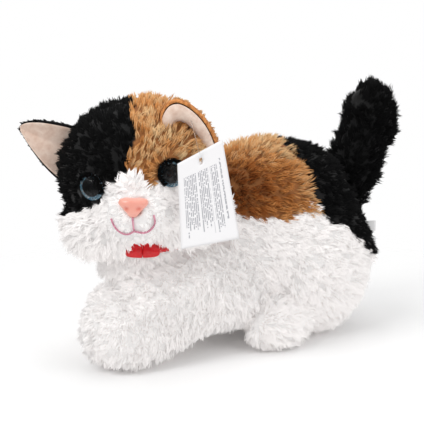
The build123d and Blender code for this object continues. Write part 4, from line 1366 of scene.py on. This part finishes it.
def dress_cad_nodes():
    """The finish of its slot for each CAD node whose slot isn't a cloth."""
    finishes = {
        "eye_clear": clear_material("clear_dome", 0.02),
        "loop_plastic": clear_material("clear_loop", 0.2),
    }
    for slot, (colour, roughness, other) in FINISHES.items():
        finishes[slot] = plain_surface(slot, colour, roughness, **other)
    for name, obj in frame["nodes"].items():
        if NODE_SLOT[name] not in finishes:
            continue
        obj.data.materials.clear()
        obj.data.materials.append(finishes[NODE_SLOT[name]])
        obj.data.polygons.foreach_set("material_index", np.zeros(len(obj.data.polygons), np.int32))


# ---------------------------------------------------------------- stage, light and camera
CAMERA_AZIMUTH, CAMERA_ELEVATION, CAMERA_DISTANCE = 60, 10, 950
CAMERA_LENS, SENSOR_WIDTH = 84.9, 36
LOOK_AT = np.array((-9.025, -32.3735, 119.3575))
FLOOR_RADIUS, FLOOR_DROP, FLOOR_FADE = 1.6, 0.0008, (0.18, 0.6)
WORLD_LIGHT, GLOSSY_LIGHT = 0.66, 0.12


def floor_material():
    """Pale paper that fades out with distance from the middle."""
    made = Nodes("floor_paper")
    made.settings(Base_Color=(0.93, 0.93, 0.93, 1), Roughness=1.0, Specular_IOR_Level=0.0)
    clear = made.add("ShaderNodeBsdfTransparent")
    mixed = made.add("ShaderNodeMixShader")
    coordinates = made.add("ShaderNodeTexCoord")
    length = made.add("ShaderNodeVectorMath", operation="LENGTH")
    made.link(coordinates.outputs["Object"], length.inputs[0])
    near, far = FLOOR_FADE
    fade = made.ramp(length.outputs["Value"], [(near, (0, 0, 0)), (far, (1, 1, 1))])
    fade.node.color_ramp.interpolation = "EASE"
    made.link(fade, mixed.inputs["Fac"])
    made.link(made.shader.outputs["BSDF"], mixed.inputs[1])
    made.link(clear.outputs["BSDF"], mixed.inputs[2])
    made.link(mixed.outputs["Shader"], made.tree.nodes["Material Output"].inputs["Surface"])
    return made.material


def build_stage():
    shape = bmesh.new()
    bmesh.ops.create_circle(shape, cap_ends=True, cap_tris=True, radius=FLOOR_RADIUS, segments=96)
    mesh = bpy.data.meshes.new("floor")
    shape.to_mesh(mesh)
    shape.free()
    mesh.materials.append(floor_material())
    floor = place_in_scene("floor", mesh)
    floor.location = (0, 0, -FLOOR_DROP)


def build_world():
    """Even white surroundings, dimmer as light than to the camera, and dimmest in reflections."""
    studio = bpy.data.worlds.new("studio")
    bpy.context.scene.world = studio
    studio.use_nodes = True
    tree = studio.node_tree
    background = tree.nodes["Background"]
    background.inputs["Color"].default_value = (1.0, 1.0, 1.0, 1)
    rays = tree.nodes.new("ShaderNodeLightPath")
    changes = (("Is Camera Ray", 1.0 - WORLD_LIGHT), ("Is Glossy Ray", GLOSSY_LIGHT - WORLD_LIGHT))
    strength = None
    for ray, change in changes:
        step = tree.nodes.new("ShaderNodeMath")
        step.operation = "MULTIPLY_ADD"
        tree.links.new(rays.outputs[ray], step.inputs[0])
        step.inputs[1].default_value = change
        step.inputs[2].default_value = WORLD_LIGHT
        if strength:
            tree.links.new(strength, step.inputs[2])
        strength = step.outputs["Value"]
    tree.links.new(strength, background.inputs["Strength"])


def aim(obj, place, direction):
    """Put a light or the camera at a place, looking in a direction."""
    obj.location = place
    obj.rotation_mode = "QUATERNION"
    obj.rotation_quaternion = Vector(direction).to_track_quat("-Z", "Y")


def area_light(name, place, target, size, power):
    data = bpy.data.lights.new(name, "AREA")
    data.shape, data.size, data.energy = "SQUARE", size, power
    aim(place_in_scene(name, data), place, target - place)


def camera_back():
    """From the object towards the camera."""
    azimuth, elevation = math.radians(CAMERA_AZIMUTH), math.radians(CAMERA_ELEVATION)
    level = np.array((math.sin(azimuth), -math.cos(azimuth), 0.0))
    return level * math.cos(elevation) + UP * math.sin(elevation)


def build_camera():
    data = bpy.data.cameras.new("photo_camera")
    data.lens, data.sensor_width = CAMERA_LENS, SENSOR_WIDTH
    data.clip_start, data.clip_end = 0.05, 20
    camera = place_in_scene("photo_camera", data)
    back = camera_back()
    aim(camera, world(LOOK_AT + back * CAMERA_DISTANCE), -back)
    bpy.context.scene.camera = camera


def build_lights():
    centre = world((0, 0, 90))
    back = camera_back()
    right = unit(np.cross(UP, back))
    area_light("key", centre + back * 0.9 - right * 0.8 + UP * 0.9, centre, 0.8, 8)
    area_light("fill", centre + back * 0.8 + right * 0.9 + UP * 0.5, centre, 1.0, 4)
    area_light("top", centre - back * 0.3 + UP * 1.4, centre, 1.0, 6)


build_torso()
build_hind_legs()
build_foreleg("left")
build_foreleg("right")
build_tail()
head_skin = build_head()
build_right_ear()
build_left_ear()
build_eye_fringes()
build_glitter_rings()
build_nose()
build_mouth(head_skin)
build_ribbon()
build_card()
build_label()
build_neck_sleeve()
dress_cad_nodes()
build_stage()
build_world()
build_lights()
build_camera()
bpy.context.scene.view_settings.view_transform = "Standard"
